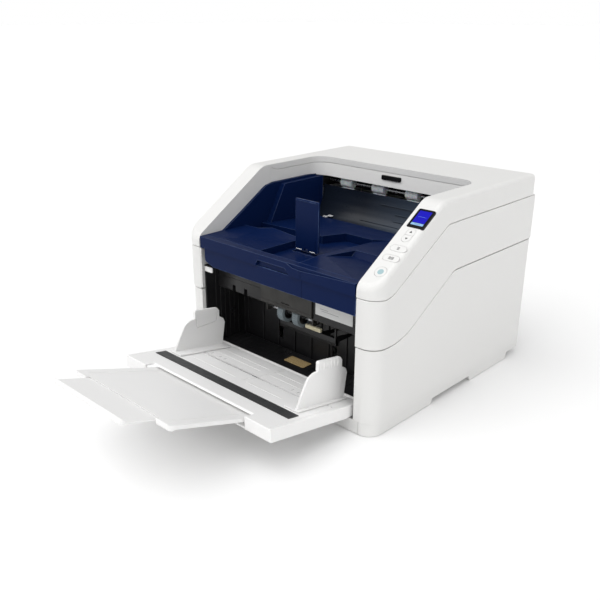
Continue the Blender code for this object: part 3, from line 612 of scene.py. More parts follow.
def moulded(name, tint, roughness=0.42, grain=0.03, sheen=0.35):
    """Spark-textured moulded plastic with faint mottling and paler edges."""
    made = Finish(name, tint, roughness)
    made.blend(made.spread(made.noise(5.0, 3.0), 0.0, 0.3, 0.4, 0.7), darker(tint, 0.98))
    made.blend(made.spread(made.noise(900.0, 2.0), 0.0, 0.35, 0.5, 0.8), darker(tint, 0.94))
    made.lighten_edges_wear_and_highlight(tuple(min(1.0, channel * 1.04 + 0.01) for channel in tint), 0.6)
    made.rough(made.noise(26.0, 5.0), roughness - 0.04, roughness + 0.05)
    made.bump(made.noise(1500.0, 2.0), grain, sheen)
    return made.material


def make_finishes(scene):
    housing, output, feed, panel = scene.scanner_housing, scene.scanner_output, scene.scanner_feed, scene.scanner_panel
    shell = tuple(housing.shell)
    finishes["shell"] = moulded("Warm white textured plastic", shell)
    # The shell's white made about 15% lighter for the input tray, guides and extensions: painted light that offsets the
    # shade under the housing.
    finishes["tray_white"] = moulded("Shell white painted lighter for the tray", tuple(c * f for c, f in zip(shell, (1.15, 1.15, 1.16))), 0.38)
    finishes["button"] = moulded("Smooth white key plastic", tuple(min(1.0, c * 1.05) for c in shell), 0.3, 0.01)
    navy = Finish("Navy satin plastic", tuple(output.navy), 0.34, specular_ior_level=0.07)
    navy.blend(navy.spread(navy.noise(6.0, 3.0), 0.0, 0.12, 0.4, 0.75), (0.005, 0.012, 0.045))
    navy.blend(navy.spread(navy.noise(130.0, 5.0, (1.0, 0.12, 1.0)), 0.0, 0.06, 0.62, 0.8), (0.02, 0.034, 0.09))
    # Paler blue along the rounded folds: painted highlight where the folds catch the light.
    navy.lighten_edges_wear_and_highlight((0.09, 0.14, 0.28), 0.85)
    navy.rough(navy.noise(40.0, 5.0), 0.3, 0.39)
    navy.bump(navy.noise(1300.0, 2.0), 0.02, 0.3)
    finishes["navy"] = navy.material
    # Lighter navy for the fold beads: a painted highlight along the tray's folds.
    fold_highlight_finish = Finish("Lighter navy painted highlight at the folds", (0.016, 0.036, 0.115), 0.3, specular_ior_level=0.3)
    fold_highlight_finish.blend(fold_highlight_finish.spread(fold_highlight_finish.noise(60.0, 4.0), 0.0, 0.5, 0.4, 0.7), (0.045, 0.075, 0.17))
    fold_highlight_finish.rough(fold_highlight_finish.noise(80.0, 4.0), 0.26, 0.38)
    fold_highlight_finish.bump(fold_highlight_finish.noise(900.0, 2.0), 0.01, 0.3)
    finishes["navy_edge"] = fold_highlight_finish.material
    chute = Finish("Dark chute plastic with painted reflection", (0.006, 0.009, 0.016), 0.3, specular_ior_level=0.25)
    across = chute.add("ShaderNodeSeparateXYZ")
    chute.link(chute.place, across.inputs["Vector"])
    # Slate blue rising towards +X over the dark navy: painted reflection of the bright light on the right side.
    chute.blend(chute.spread(across.outputs["X"], 0.0, 1.0, -0.06, 0.2), (0.05, 0.075, 0.115))
    chute.blend(chute.spread(chute.noise(30.0, 4.0, (0.2, 1.0, 1.0)), 0.0, 0.1, 0.4, 0.7), (0.012, 0.018, 0.03))
    chute.rough(chute.noise(300.0, 3.0), 0.27, 0.33)
    chute.bump(chute.noise(900.0, 2.0), 0.02, 0.3)
    finishes["chute"] = chute.material
    liner = Finish("Black moulded plastic", tuple(feed.liner), 0.34)
    liner.blend(liner.spread(liner.noise(12.0, 6.0), 0.0, 0.6, 0.5, 0.8), (0.022, 0.022, 0.023))
    liner.lighten_edges_wear_and_highlight((0.05, 0.05, 0.052), 0.7)
    liner.rough(liner.noise(18.0, 6.0), 0.24, 0.5)
    liner.bump(liner.noise(1100.0, 2.0), 0.03, 0.4)
    finishes["liner"] = liner.material
    bar = Finish("Umber grey plastic", (0.017, 0.016, 0.014), 0.45)
    bar.blend(bar.spread(bar.noise(20.0, 5.0), 0.0, 0.6, 0.4, 0.7), (0.026, 0.025, 0.022))
    bar.lighten_edges_wear_and_highlight((0.06, 0.058, 0.052), 0.6)
    bar.rough(bar.noise(60.0, 4.0), 0.36, 0.55)
    bar.bump(bar.noise(1200.0, 2.0), 0.03, 0.45)
    finishes["umber"] = bar.material
    grey = Finish("Mid grey glass-filled plastic", (0.17, 0.17, 0.18), 0.5)
    grey.blend(grey.spread(grey.noise(260.0, 3.0, (1.0, 0.3, 1.0)), 0.0, 0.5, 0.45, 0.7), (0.24, 0.24, 0.25))
    grey.rough(grey.noise(80.0, 4.0), 0.42, 0.6)
    grey.bump(grey.noise(700.0, 2.0), 0.04, 0.5)
    finishes["grey"] = grey.material
    steel = Finish("Ground steel", (0.62, 0.63, 0.65), 0.24, 1.0)
    steel.blend(steel.spread(steel.noise(400.0, 3.0, (1.0, 0.04, 0.04)), 0.0, 0.5, 0.4, 0.7), (0.45, 0.46, 0.48))
    steel.rough(steel.noise(300.0, 3.0, (1.0, 0.05, 0.05)), 0.16, 0.36)
    steel.bump(steel.noise(800.0, 2.0, (1.0, 0.05, 0.05)), 0.01, 0.4)
    finishes["steel"] = steel.material
    zinc = Finish("Zinc plated sheet", (0.55, 0.56, 0.57), 0.34, 1.0)
    zinc.blend(zinc.spread(zinc.cells(140.0), 0.0, 0.7, 0.1, 0.8), (0.4, 0.41, 0.43))
    zinc.rough(zinc.cells(140.0), 0.26, 0.46, 0.0, 0.8)
    zinc.bump(zinc.noise(500.0, 2.0), 0.01, 0.3)
    finishes["zinc"] = zinc.material
    pale = Finish("Frosted roller rubber", (0.86, 0.9, 0.93), 0.42, subsurface_weight=0.15, subsurface_scale=0.003)
    pale.blend(pale.spread(pale.noise(90.0, 4.0), 0.0, 0.5, 0.4, 0.75), (0.72, 0.77, 0.8))
    pale.rough(pale.noise(200.0, 3.0), 0.34, 0.56)
    pale.bump(pale.noise(900.0, 3.0), 0.03, 0.5)
    finishes["roller"] = pale.material
    tyre = Finish("Grey blue feed tyre", (0.17, 0.2, 0.215), 0.6)
    tyre.blend(tyre.spread(tyre.noise(140.0, 4.0), 0.0, 0.6, 0.4, 0.7), (0.2, 0.25, 0.28))
    tyre.rough(tyre.noise(300.0, 3.0), 0.5, 0.75)
    tyre.bump(tyre.noise(1000.0, 3.0), 0.05, 0.6)
    finishes["tyre"] = tyre.material
    rubber = Finish("Black rubber", (0.018, 0.018, 0.018), 0.78)
    rubber.blend(rubber.spread(rubber.noise(70.0, 5.0), 0.0, 0.6, 0.5, 0.8), (0.04, 0.04, 0.04))
    rubber.rough(rubber.noise(200.0, 3.0), 0.68, 0.9)
    rubber.bump(rubber.noise(1400.0, 3.0), 0.05, 0.7)
    finishes["rubber"] = rubber.material
    strip = Finish("Dark grey slide strip", (0.035, 0.036, 0.037), 0.5)
    strip.blend(strip.spread(strip.noise(500.0, 3.0, (0.1, 1.0, 1.0)), 0.0, 0.6, 0.4, 0.7), (0.06, 0.061, 0.062))
    strip.rough(strip.noise(90.0, 4.0), 0.4, 0.6)
    strip.bump(strip.noise(800.0, 2.0, (0.15, 1.0, 1.0)), 0.02, 0.4)
    finishes["strip"] = strip.material
    cream = Finish("Cream moulded plastic", (0.62, 0.57, 0.4), 0.4)
    cream.blend(cream.spread(cream.noise(60.0, 4.0), 0.0, 0.5, 0.4, 0.7), (0.7, 0.66, 0.5))
    cream.rough(cream.noise(150.0, 3.0), 0.34, 0.5)
    cream.bump(cream.noise(1200.0, 2.0), 0.02, 0.4)
    finishes["cream"] = cream.material
    cork = Finish("Tan cork rubber", (0.46, 0.34, 0.15), 0.8)
    cork.blend(cork.spread(cork.cells(420.0), 0.0, 0.8, 0.2, 0.7), (0.3, 0.2, 0.09))
    cork.blend(cork.spread(cork.noise(700.0, 3.0), 0.0, 0.6, 0.55, 0.7), (0.6, 0.47, 0.26))
    cork.rough(cork.noise(500.0, 3.0), 0.7, 0.92)
    cork.bump(cork.cells(420.0), 0.12, 0.6)
    finishes["cork"] = cork.material
    film = Finish("Grey white label film", (0.66, 0.665, 0.66), 0.4)
    film.blend(film.spread(film.noise(40.0, 4.0), 0.0, 0.4, 0.4, 0.7), (0.6, 0.605, 0.6))
    film.rough(film.noise(120.0, 3.0), 0.34, 0.5)
    film.bump(film.noise(260.0, 3.0), 0.02, 0.3)
    finishes["film"] = film.material
    ink = Finish("Dark printed ink", (0.03, 0.03, 0.035), 0.5)
    ink.blend(ink.spread(ink.noise(1500.0, 2.0), 0.0, 0.4, 0.5, 0.8), (0.08, 0.08, 0.085))
    ink.rough(ink.noise(800.0, 2.0), 0.42, 0.6)
    finishes["ink"] = ink.material
    bezel = Finish("Piano black bezel", (0.004, 0.004, 0.005), 0.14, specular_ior_level=0.16)
    bezel.rough(bezel.noise(90.0, 5.0), 0.08, 0.2)
    bezel.bump(bezel.noise(60.0, 2.0), 0.02, 0.1)
    finishes["bezel"] = bezel.material
    for key, name, tint, power in (
        ("screen", "Lit blue screen", panel.screen, 0.9), ("status", "Lit status bar", panel.status, 0.75),
        ("start", "Cyan start light", panel.start_light, 0.55),
    ):
        lit = Finish(name, darker(tint, 0.15), 0.15, specular_ior_level=0.08, emission_color=(*tint, 1.0), emission_strength=power)
        lit.rough(lit.noise(200.0, 3.0), 0.1, 0.22)
        lit.bump(lit.noise(1800.0, 2.0), 0.004, 0.2)
        finishes[key] = lit.material
    glass = Finish("Scan glass", (0.72, 0.8, 0.78), 0.04, transmission_weight=0.85, ior=1.52)
    glass.rough(glass.noise(30.0, 5.0), 0.02, 0.1)
    finishes["glass"] = glass.material
    board = Finish("Green circuit board", (0.012, 0.13, 0.05), 0.35)
    board.blend(board.spread(board.cells(330.0, "DISTANCE_TO_EDGE", (1.0, 0.25, 1.0)), 0.75, 0.0, 0.02, 0.05), (0.03, 0.26, 0.1))
    board.rough(board.noise(200.0, 3.0), 0.28, 0.42)
    board.bump(board.cells(330.0, "DISTANCE_TO_EDGE", (1.0, 0.25, 1.0)), 0.02, 0.4)
    finishes["board"] = board.material


finishes = {}
trees = {}


# Stage ------------------------------------------------------------------------------------

class SCANNER_OT_stage(bpy.types.Operator):
    """Pale floor, soft studio lights and the camera"""
    bl_idname = "scanner.stage"
    bl_label = "Stage"

    def execute(self, context):
        scene = context.scene
        settings = scene.scanner_stage
        for item in list(scene.objects):
            if item.type in {"CAMERA", "LIGHT"}:
                bpy.data.objects.remove(item, do_unlink=True)
        work = bmesh.new()
        bmesh.ops.create_grid(work, x_segments=1, y_segments=1, size=40.0)
        floor = new_piece("floor", work)
        pale = Finish("Pale floor", tuple(settings.floor), 0.7)
        pale.blend(pale.spread(pale.noise(3.0, 3.0), 0.0, 0.4, 0.4, 0.8), darker(settings.floor, 0.985))
        pale.rough(pale.noise(8.0, 3.0), 0.62, 0.78)
        floor.data.materials.append(pale.material)
        world = bpy.data.worlds.new("Soft studio")
        world.use_nodes = True
        nodes, link = world.node_tree.nodes, world.node_tree.links.new
        glow = nodes["Background"]
        glow.inputs["Color"].default_value = (1.0, 1.0, 1.0, 1.0)
        height = nodes.new("ShaderNodeSeparateXYZ")
        band = nodes.new("ShaderNodeMapRange")
        for label, number in (("From Min", 0.02), ("From Max", 0.08), ("To Min", 1.0), ("To Max", settings.sky)):
            band.inputs[label].default_value = number
        link(nodes.new("ShaderNodeTexCoord").outputs["Generated"], height.inputs["Vector"])
        link(height.outputs["Z"], band.inputs["Value"])
        link(band.outputs["Result"], glow.inputs["Strength"])
        scene.world = world
        for name, toward, power in (("key_light", (-0.2, -0.5, 1.0), settings.key),
                                    ("fill_light", (0.9, -0.3, 0.5), settings.fill)):
            lamp = bpy.data.lights.new(name, "SUN")
            lamp.energy = power
            lamp.angle = radians(70.0)
            holder = bpy.data.objects.new(name, lamp)
            holder.location = Vector(toward) * 3.0
            holder.rotation_euler = Vector(toward).to_track_quat("Z", "Y").to_euler()
            scene.collection.objects.link(holder)
        lens = bpy.data.cameras.new("camera")
        lens.lens = settings.focal
        lens.shift_x = 0.0145
        lens.shift_y = 0.0073
        lens.dof.use_dof = False
        camera = bpy.data.objects.new("camera", lens)
        camera.location = (0.9055, -0.9354, 0.6839)
        turn, lift = radians(44.233), radians(21.53)
        ahead = -Vector((sin(turn) * cos(lift), -cos(turn) * cos(lift), sin(lift)))
        camera.rotation_euler = ahead.to_track_quat("-Z", "Y").to_euler()
        scene.collection.objects.link(camera)
        scene.camera = camera
        scene.view_settings.view_transform = "Standard"
        return {"FINISHED"}


# Housing ----------------------------------------------------------------------------------

def lid_seam(offset):
    return [(-20.0, 253.0 + offset), (38.5, 253.0 + offset, 60.0), (193.0, 345.5 + offset, 30.0),
            (DEPTH + 20.0, 346.5 + offset)]


def band_seam(offset):
    return [(-20.0, 166.0 + offset), (75.0, 166.0 + offset, 120.0), (222.0, 256.0 + offset, 30.0),
            (DEPTH + 20.0, 257.0 + offset)]


def plinth_seam(offset):
    return [(-20.0, 26.0 + offset), (DEPTH + 20.0, 26.0 + offset)]


def column_plan(side, outer, front, rear, inset):
    points = [(side * (BAY + inset), front + inset), (side * (outer - inset), front + inset, 30.0 - inset),
              (side * (outer - inset), rear - inset, max(10.0 - inset, 1.0)), (side * (BAY + inset), rear - inset)]
    return points if side > 0 else points[::-1]


def column(name, side, outer, front, rear, lower, upper, roof, radius, gap=0.55):
    """One hollow side column between two seams."""
    body = prism(name, column_plan(side, outer, front, rear, 0.0), 0.0, TOP, "Z")
    keep(body, prism("profile", lower(0.55) + upper(-gap)[::-1], -HALF - 9.0, HALF + 9.0))
    ease(body, radius, segments=3)
    hollow = prism("hollow", column_plan(side, outer, front, rear, 3.0), -5.0, TOP, "Z")
    keep(hollow, prism("inside", lower(-15.0) + upper(-roof)[::-1], -HALF - 9.0, HALF + 9.0))
    return carve(body, hollow)


class SCANNER_OT_columns(bpy.types.Operator):
    """Bands and lower covers of the two side columns"""
    bl_idname = "scanner.columns"
    bl_label = "Side columns"

    def execute(self, context):
        settings = context.scene.scanner_housing
        radius = settings.seam_radius / MM
        for label, side in (("left", -1), ("right", 1)):
            band = column("band_" + label, side, HALF, 0.0, DEPTH, band_seam, lid_seam, 3.0, radius)
            mount(band, finishes["shell"], "housing", "warm_white_plastic", label + "_band")
            cover = column("cover_" + label, side, HALF - 0.9, 1.6, DEPTH - 2.0, plinth_seam, band_seam, -20.0, radius,
                           1.5)
            mount(cover, finishes["shell"], "housing", "warm_white_plastic", label + "_side_cover")
        return {"FINISHED"}


def screw_head(name, place, radius=3.4):
    """Pan head with a cross recess, facing the rear."""
    x, y, z = place
    head = lathe(name, [(y - 1.0, 0.0), (y - 1.0, radius), (y + 0.9, radius), (y + 1.9, radius * 0.72),
                        (y + 2.2, radius * 0.3), (y + 2.2, 0.0)], (x, z), 20, "Y")
    slot_a = block("slot_a", (x - 2.0, x + 2.0), (y + 1.0, y + 3.0), (z - 0.45, z + 0.45))
    slot_b = block("slot_b", (x - 0.45, x + 0.45), (y + 1.0, y + 3.0), (z - 2.0, z + 2.0))
    return carve(head, slot_a, slot_b)


class SCANNER_OT_base(bpy.types.Operator):
    """Plinth with its skirts and the rubber feet"""
    bl_idname = "scanner.base"
    bl_label = "Base"

    def execute(self, context):
        radius = context.scene.scanner_housing.seam_radius / MM
        outer = HALF - 3.0
        profile = [(3.0, 0.8, 3.0), (183.0, 0.8, 3.0), (187.0, 11.5), (313.0, 11.5), (317.0, 0.8, 3.0),
                   (456.0, 0.8, 3.0), (460.0, 14.5), (DEPTH - 4.0, 14.5), (DEPTH - 4.0, 26.0), (3.0, 26.0)]
        pan = prism("plinth", profile, -outer, outer)
        keep(pan, prism("corners", [(-outer, 3.0, 30.0), (outer, 3.0, 30.0), (outer, DEPTH, 6.0), (-outer, DEPTH, 6.0)],
                        -5.0, 60.0, "Z"))
        ease(pan, radius, segments=2)
        inner = outer - 3.0
        carve(
            pan,
            prism("inside", [(-inner, 6.0, 25.0), (inner, 6.0, 25.0), (inner, 499.0), (-inner, 499.0)], 18.0, 60.0, "Z"),
            block("front_recess", (-inner + 6.0, inner - 6.0), (36.0, 178.0), (-5.0, 12.0)),
            block("rear_recess", (-inner + 6.0, inner - 6.0), (323.0, 449.0), (-5.0, 12.0)),
            block("front_joint", (209.6, 210.4), (0.0, 8.0), (-5.0, 60.0)),
        )
        slots = along_row("floor_slots", prism("slot", oblong(60.0, 4.0, 215.0, 2.0, -120.0), 5.0, 30.0, "Z"), 8,
                          (0.0, 9.0, 0.0))
        more = along_row("more_slots", prism("slot", oblong(60.0, 4.0, 215.0, 2.0, 60.0), 5.0, 30.0, "Z"), 8,
                         (0.0, 9.0, 0.0))
        carve(pan, slots, more)
        mount(pan, finishes["shell"], "housing", "warm_white_plastic", "base_pan")
        for label, x, y in (("front_left", -200.0, 60.0), ("front_right", 200.0, 60.0),
                            ("rear_left", -200.0, 430.0), ("rear_right", 200.0, 430.0)):
            foot = lathe("foot_" + label, [(0.0, 0.0), (0.0, 6.5), (1.2, 6.5), (1.2, 8.2), (0.0, 8.2), (0.0, 10.2),
                                           (0.8, 11.0), (11.7, 10.4), (11.7, 0.0)], (x, y), 40, "Z")
            ease(foot, 0.4, segments=2, angle=40.0)
            mount(foot, finishes["rubber"], "housing", "black_rubber", "rubber_foot_" + label)
        return {"FINISHED"}


class SCANNER_OT_rear(bpy.types.Operator):
    """Rear cover with vents, screws, power inlet, rocker switch and data port"""
    bl_idname = "scanner.rear"
    bl_label = "Rear"

    def execute(self, context):
        settings = context.scene.scanner_housing
        half = BAY - 0.4
        face = DEPTH - 3.0
        cover = block("rear_panel", (-half, half), (DEPTH - 6.0, face), (26.3, 346.0))
        ease(cover, 0.8, segments=2)
        frame_line = prism("raised_panel", oblong(300.0, 150.0, 230.0, 8.0), face - 0.5, face + 1.2, "Y")
        join(cover, ease(frame_line, 0.6, segments=2))
        vents = []
        for index, x in enumerate((-150.0, 30.0)):
            slot = prism("slot", [(x, 268.0, 1.4), (x + 3.0, 268.0, 1.4), (x + 3.0, 190.0, 1.4), (x, 190.0, 1.4)],
                         face - 20.0, face + 9.0, "Y")
            vents.append(along_row("vents_%d" % index, slot, settings.vent_count, (8.6, 0.0, 0.0)))
        carve(
            cover, *vents,
            block("inlet_cut", (110.0, 138.0), (DEPTH - 20.0, DEPTH + 5.0), (60.0, 82.0)),
            block("switch_cut", (147.0, 161.0), (DEPTH - 20.0, DEPTH + 5.0), (60.0, 82.0)),
            block("port_cut", (60.0, 73.0), (DEPTH - 20.0, DEPTH + 5.0), (64.0, 76.0)),
            block("panel_joint", (-half - 1.0, half + 1.0), (face - 0.7, face + 5.0), (119.5, 120.3)),
        )
        mount(cover, finishes["shell"], "housing", "warm_white_plastic", "rear_cover")
        screws = [screw_head("head", (x, face - 0.4, z)) for x in (-188.0, 188.0) for z in (40.0, 108.0, 132.0, 330.0)]
        mount(gather("rear_screws", *screws), finishes["zinc"], "housing", "zinc_steel")
        inlet = prism("inlet", [(110.4, 60.4, 1.5), (137.6, 60.4, 1.5), (137.6, 81.6, 5.0), (110.4, 81.6, 5.0)],
                      DEPTH - 24.0, DEPTH - 2.4, "Y")
        ease(inlet, 0.5, segments=2)
        carve(inlet, prism("socket", [(113.0, 63.0, 1.0), (135.0, 63.0, 1.0), (135.0, 79.0, 4.0), (113.0, 79.0, 4.0)],
                           DEPTH - 18.0, DEPTH + 5.0, "Y"))
        mount(inlet, finishes["liner"], "housing", "black_plastic", "power_inlet")
        pins = [block("pin", (x - 1.0, x + 1.0), (DEPTH - 19.0, DEPTH - 7.0), (z - 2.4, z + 2.4))
                for x, z in ((117.5, 69.0), (124.0, 74.0), (130.5, 69.0))]
        mount(ease(gather("inlet_pins", *pins), 0.35, segments=2), finishes["steel"], "housing", "zinc_steel")
        port = prism("port", oblong(12.2, 11.2, 70.0, 1.2, 66.5), DEPTH - 20.0, DEPTH - 2.4, "Y")
        ease(port, 0.3, segments=2)
        carve(port, prism("mouth", oblong(9.8, 8.6, 70.0, 0.8, 66.5), DEPTH - 14.0, DEPTH + 5.0, "Y"))
        mount(port, finishes["zinc"], "housing", "zinc_steel", "data_port")
        tongue = block("port_tongue", (63.6, 69.4), (DEPTH - 15.0, DEPTH - 5.0), (69.6, 72.0))
        mount(ease(tongue, 0.3, segments=2), finishes["liner"], "housing", "black_plastic")
        rocker = prism("rocker", [(DEPTH - 14.0, 62.0), (DEPTH - 3.0, 61.5, 1.0), (DEPTH - 1.6, 71.0, 12.0),
                                  (DEPTH, 80.5, 1.0), (DEPTH - 14.0, 80.0)], 147.6, 160.4)
        mount(ease(rocker, 0.5, segments=2), finishes["liner"], "rocker", "black_plastic", "power_switch")
        return {"FINISHED"}


# Lid --------------------------------------------------------------------------------------

def bezel_path(rear, radius, steps=12):
    """Plan of the inner bezel, from the left arm round the back to the right arm."""
    path = [(-BAY, y) for y in (198.0, 211.0, 217.0, 250.0, 285.0)]
    for step in range(steps + 1):
        turn = pi / 2.0 * step / steps
        path.append((-BAY + radius - radius * cos(turn), rear - radius + radius * sin(turn)))
    return path + [(-x, y) for x, y in reversed(path)]


def inner_bezel():
    """Strip under the lid's top seam, along both arms and over the paper exit."""
    upper, lower = bezel_path(350.2, 34.0), bezel_path(346.0, 32.0)
    work = bmesh.new()
    rows = []
    for share in (0.0, 0.5, 1.0):
        row = []
        for (x1, y1), (x2, y2) in zip(upper, lower):
            top = 375.3 if y1 > 212.0 else 376.8 + (211.0 - y1) * 0.48
            foot = 351.6 - 4.4 * max(0.0, min(1.0, (y1 - 316.0) / 32.0))
            row.append(work.verts.new(at(x1 + (x2 - x1) * share, y1 + (y2 - y1) * share, top + (foot - top) * share)))
        rows.append(row)
    for first, second in zip(rows, rows[1:]):
        for index in range(len(first) - 1):
            work.faces.new((first[index], second[index], second[index + 1], first[index + 1]))
    piece = new_piece("exit_bezel", work)
    middle = max(piece.data.polygons, key=lambda polygon: polygon.area)
    shell = piece.modifiers.new("Wall", "SOLIDIFY")
    shell.thickness = 2.4 * MM
    shell.offset = -1.0 if middle.normal.y < 0.0 else 1.0
    settle(piece)
    return ease(piece, 0.6, segments=2, angle=50.0)


class SCANNER_OT_lid(bpy.types.Operator):
    """Lid with its two arms, the inner bezel, the badge plate and the hinge arms"""
    bl_idname = "scanner.lid"
    bl_label = "Lid"

    def execute(self, context):
        settings = context.scene.scanner_housing
        rear = DEPTH - 10.0
        lid = prism("lid", [(-HALF, 0.0, 30.0), (HALF, 0.0, 30.0), (HALF, rear, 10.0), (-HALF, rear, 10.0)],
                    200.0, 420.0, "Z")
        profile = lid_seam(0.55) + [(DEPTH + 20.0, TOP), (KNEE, TOP, 40.0), (0.0, LID_FRONT), (-20.0, LID_FRONT)]
        keep(lid, prism("profile", profile, -HALF - 9.0, HALF + 9.0))
        wide = settings.lid_radius / MM

        def outer_edges(middle, normals):
            tops = max(normal.z for normal in normals) > 0.3
            return 1.0 if tops else settings.seam_radius / MM / wide
        ease(lid, wide, outer_edges, segments=6)
        carve(lid, prism("opening", [(-BAY, -20.0), (BAY, -20.0), (BAY, 350.0, 34.0), (-BAY, 350.0, 34.0)],
                         150.0, 450.0, "Z"))

        def rim(middle, normals):
            inside = abs(middle.x) < BAY + 0.6 and middle.y < 350.6
            walls = min(abs(normal.z) for normal in normals) < 0.2
            if not inside or not walls:
                return 0.0
            return 1.0 if max(normal.z for normal in normals) > 0.3 or middle.y < 0.6 else 0.4
        ease(lid, settings.opening_radius / MM, rim, segments=4)
        inner, outer = BAY + 3.0, HALF - 3.0
        hollow = prism(
            "hollow",
            [(-outer, 3.0, 27.0), (-inner, 3.0), (-inner, 353.0, 36.0), (inner, 353.0, 36.0), (inner, 3.0),
             (outer, 3.0, 27.0), (outer, rear - 3.0, 8.0), (-outer, rear - 3.0, 8.0)], 100.0, 420.0, "Z",
        )
        drop = 3.0 / cos(SLOPE)
        roof = [(-20.0, 100.0), (DEPTH + 20.0, 100.0), (DEPTH + 20.0, TOP - 3.0), (KNEE + 1.0, TOP - 3.0, 38.0),
                (0.0, LID_FRONT - drop), (-20.0, LID_FRONT - drop)]
        keep(hollow, prism("roof", roof, -HALF - 5.0, HALF + 5.0))
        under = [(197.3, 340.0), (197.3, 384.0), (211.0, 377.6), (216.5, 376.1), (380.0, 376.1), (380.0, 340.0)]
        carve(lid, hollow, prism("under", under, -BAY - 4.6, BAY + 4.6))
        windows = [panel_prism("window", oblong(33.6, 44.6, 160.5, 3.2), -20.0, 20.0)]
        gap = context.scene.scanner_panel.groove / MM
        windows += [panel_prism("window", grown(outline, gap), -20.0, 20.0) for outline in KEYS.values()]
        carve(lid, *windows)
        mount(lid, finishes["shell"], "lid", "warm_white_plastic", "lid_shell", angle=32.0)
        mount(inner_bezel(), finishes["shell"], "lid", "warm_white_plastic")
        badge = prism("badge", oblong(48.0, 9.6, 365.4, 2.2), 345.4, 349.6, "Y")
        mount(ease(badge, 0.5, segments=2), finishes["bezel"], "lid", "black_plastic", "lid_badge")
        for label, side in (("left", -1), ("right", 1)):
            low, high = sorted((side * 150.0, side * 165.0))
            arm = prism("hinge_" + label, [(440.0, 382.0, 2.0), (440.0, 374.0, 2.0), (478.0, 366.0, 6.0), (478.0, 348.0, 3.0),
                                           (492.8, 348.0, 4.0), (492.8, 382.0, 2.0)], low, high)
            ease(arm, 0.6, segments=2)
            carve(arm, lathe("eye", [(low - 5.0, 0.0), (low - 5.0, 2.6), (high + 5.0, 2.6), (high + 5.0, 0.0)],
                             (485.0, 355.0), 24))
            mount(arm, finishes["zinc"], "lid", "zinc_steel", label + "_hinge_arm")
        return {"FINISHED"}


KEYS = {
    "up_button": [(-8.0, 121.5), (8.0, 121.5), (8.0, 136.6, 7.9), (-8.0, 136.6, 7.9)],
    "down_button": [(-8.0, 105.8, 7.9), (8.0, 105.8, 7.9), (8.0, 121.0), (-8.0, 121.0)],
    "one_side_button": oblong(31.0, 13.0, 90.0, 50.0),
    "two_side_button": oblong(31.0, 13.0, 67.5, 50.0),
    "start_button": oblong(21.0, 21.0, 36.5, 50.0),
}


def grown(points, gap):
    """The outline of a key, let out by the gap round it."""
    corners = [point[:2] for point in points]
    middle = [sum(axis) / len(corners) for axis in zip(*corners)]
    return [(point[0] + (gap if point[0] > middle[0] else -gap), point[1] + (gap if point[1] > middle[1] else -gap),
             *(radius + gap for radius in point[2:])) for point in points]


class SCANNER_OT_panel_parts(bpy.types.Operator):
    """Display, its lit screen, and the five keys with their marks"""
    bl_idname = "scanner.panel_parts"
    bl_label = "Control panel"

    def execute(self, context):
        plate = panel_prism("display_bezel", oblong(33.0, 44.0, 160.5, 3.0), -4.0, 0.5)
        ease(plate, 0.45, segments=3)
        carve(plate, panel_prism("well", oblong(24.6, 33.4, 161.6, 0.8), 0.1, 3.0))
        mount(plate, finishes["bezel"], "lid", "black_plastic", "display")
        screen = panel_prism("screen", oblong(24.4, 27.4, 164.5, 0.7), 0.0, 0.25)
        mount(ease(screen, 0.08, segments=1), finishes["screen"], "lid", "black_plastic")
        status = panel_prism("status_bar", oblong(24.4, 5.0, 147.6, 0.5), 0.0, 0.25)
        mount(ease(status, 0.08, segments=1), finishes["status"], "lid", "black_plastic")
        ticks = along_row("status_ticks", panel_prism("tick", oblong(2.0, 0.9, 147.6, 0.3, -4.0), 0.2, 0.32), 4,
                          (2.8, 0.0, 0.0))
        mount(ticks, finishes["ink"], "lid", "black_plastic")
        rows = along_row("screen_marks", panel_prism("mark", oblong(0.9, 0.5, 164.5, 0.2, -7.2), 0.2, 0.3), 10,
                         (1.6, 0.0, 0.0))
        mount(rows, finishes["status"], "lid", "black_plastic")
        for name, outline in KEYS.items():
            key = panel_prism("key_" + name, outline, -4.0, 0.15)
            ease(key, 0.25, segments=3)
            body = name.replace("button", "key")
            mount(key, finishes["shell"], body, "warm_white_plastic", name)
        marks = (
            ("up_mark", "up_key", [(-2.6, 127.0), (2.6, 127.0), (0.0, 131.4)]),
            ("down_mark", "down_key", [(-2.5, 115.2), (0.0, 111.2), (2.5, 115.2)]),
        )
        for name, body, points in marks:
            mark = panel_prism(name, points, 0.05, 0.34)
            mount(ease(mark, 0.06, segments=1), finishes["ink"], body, "black_plastic")
        for name, body, along, sheets in (("single_sheet_mark", "one_side_key", 90.0, (0.0,)),
                                          ("double_sheet_mark", "two_side_key", 67.5, (-2.6, 2.6))):
            parts = []
            for across in sheets:
                page = panel_prism("page", oblong(4.2, 5.6, along, 0.5, across), 0.05, 0.34)
                carve(page, panel_prism("blank", oblong(3.2, 4.6, along, 0.2, across), 0.0, 1.0))
                parts.append(page)
                parts += [panel_prism("line", oblong(2.0, 0.5, along + up, 0.1, across), 0.05, 0.34)
                          for up in (-1.2, 0.0, 1.2)]
            mount(gather(name, *parts), finishes["ink"], body, "black_plastic")
        ring = panel_prism("start_glow", oblong(11.0, 11.0, 36.5, 50.0), 0.05, 0.32)
        mount(ease(ring, 0.08, segments=1), finishes["start"], "start_key", "warm_white_plastic")
        return {"FINISHED"}


# Output side ------------------------------------------------------------------------------

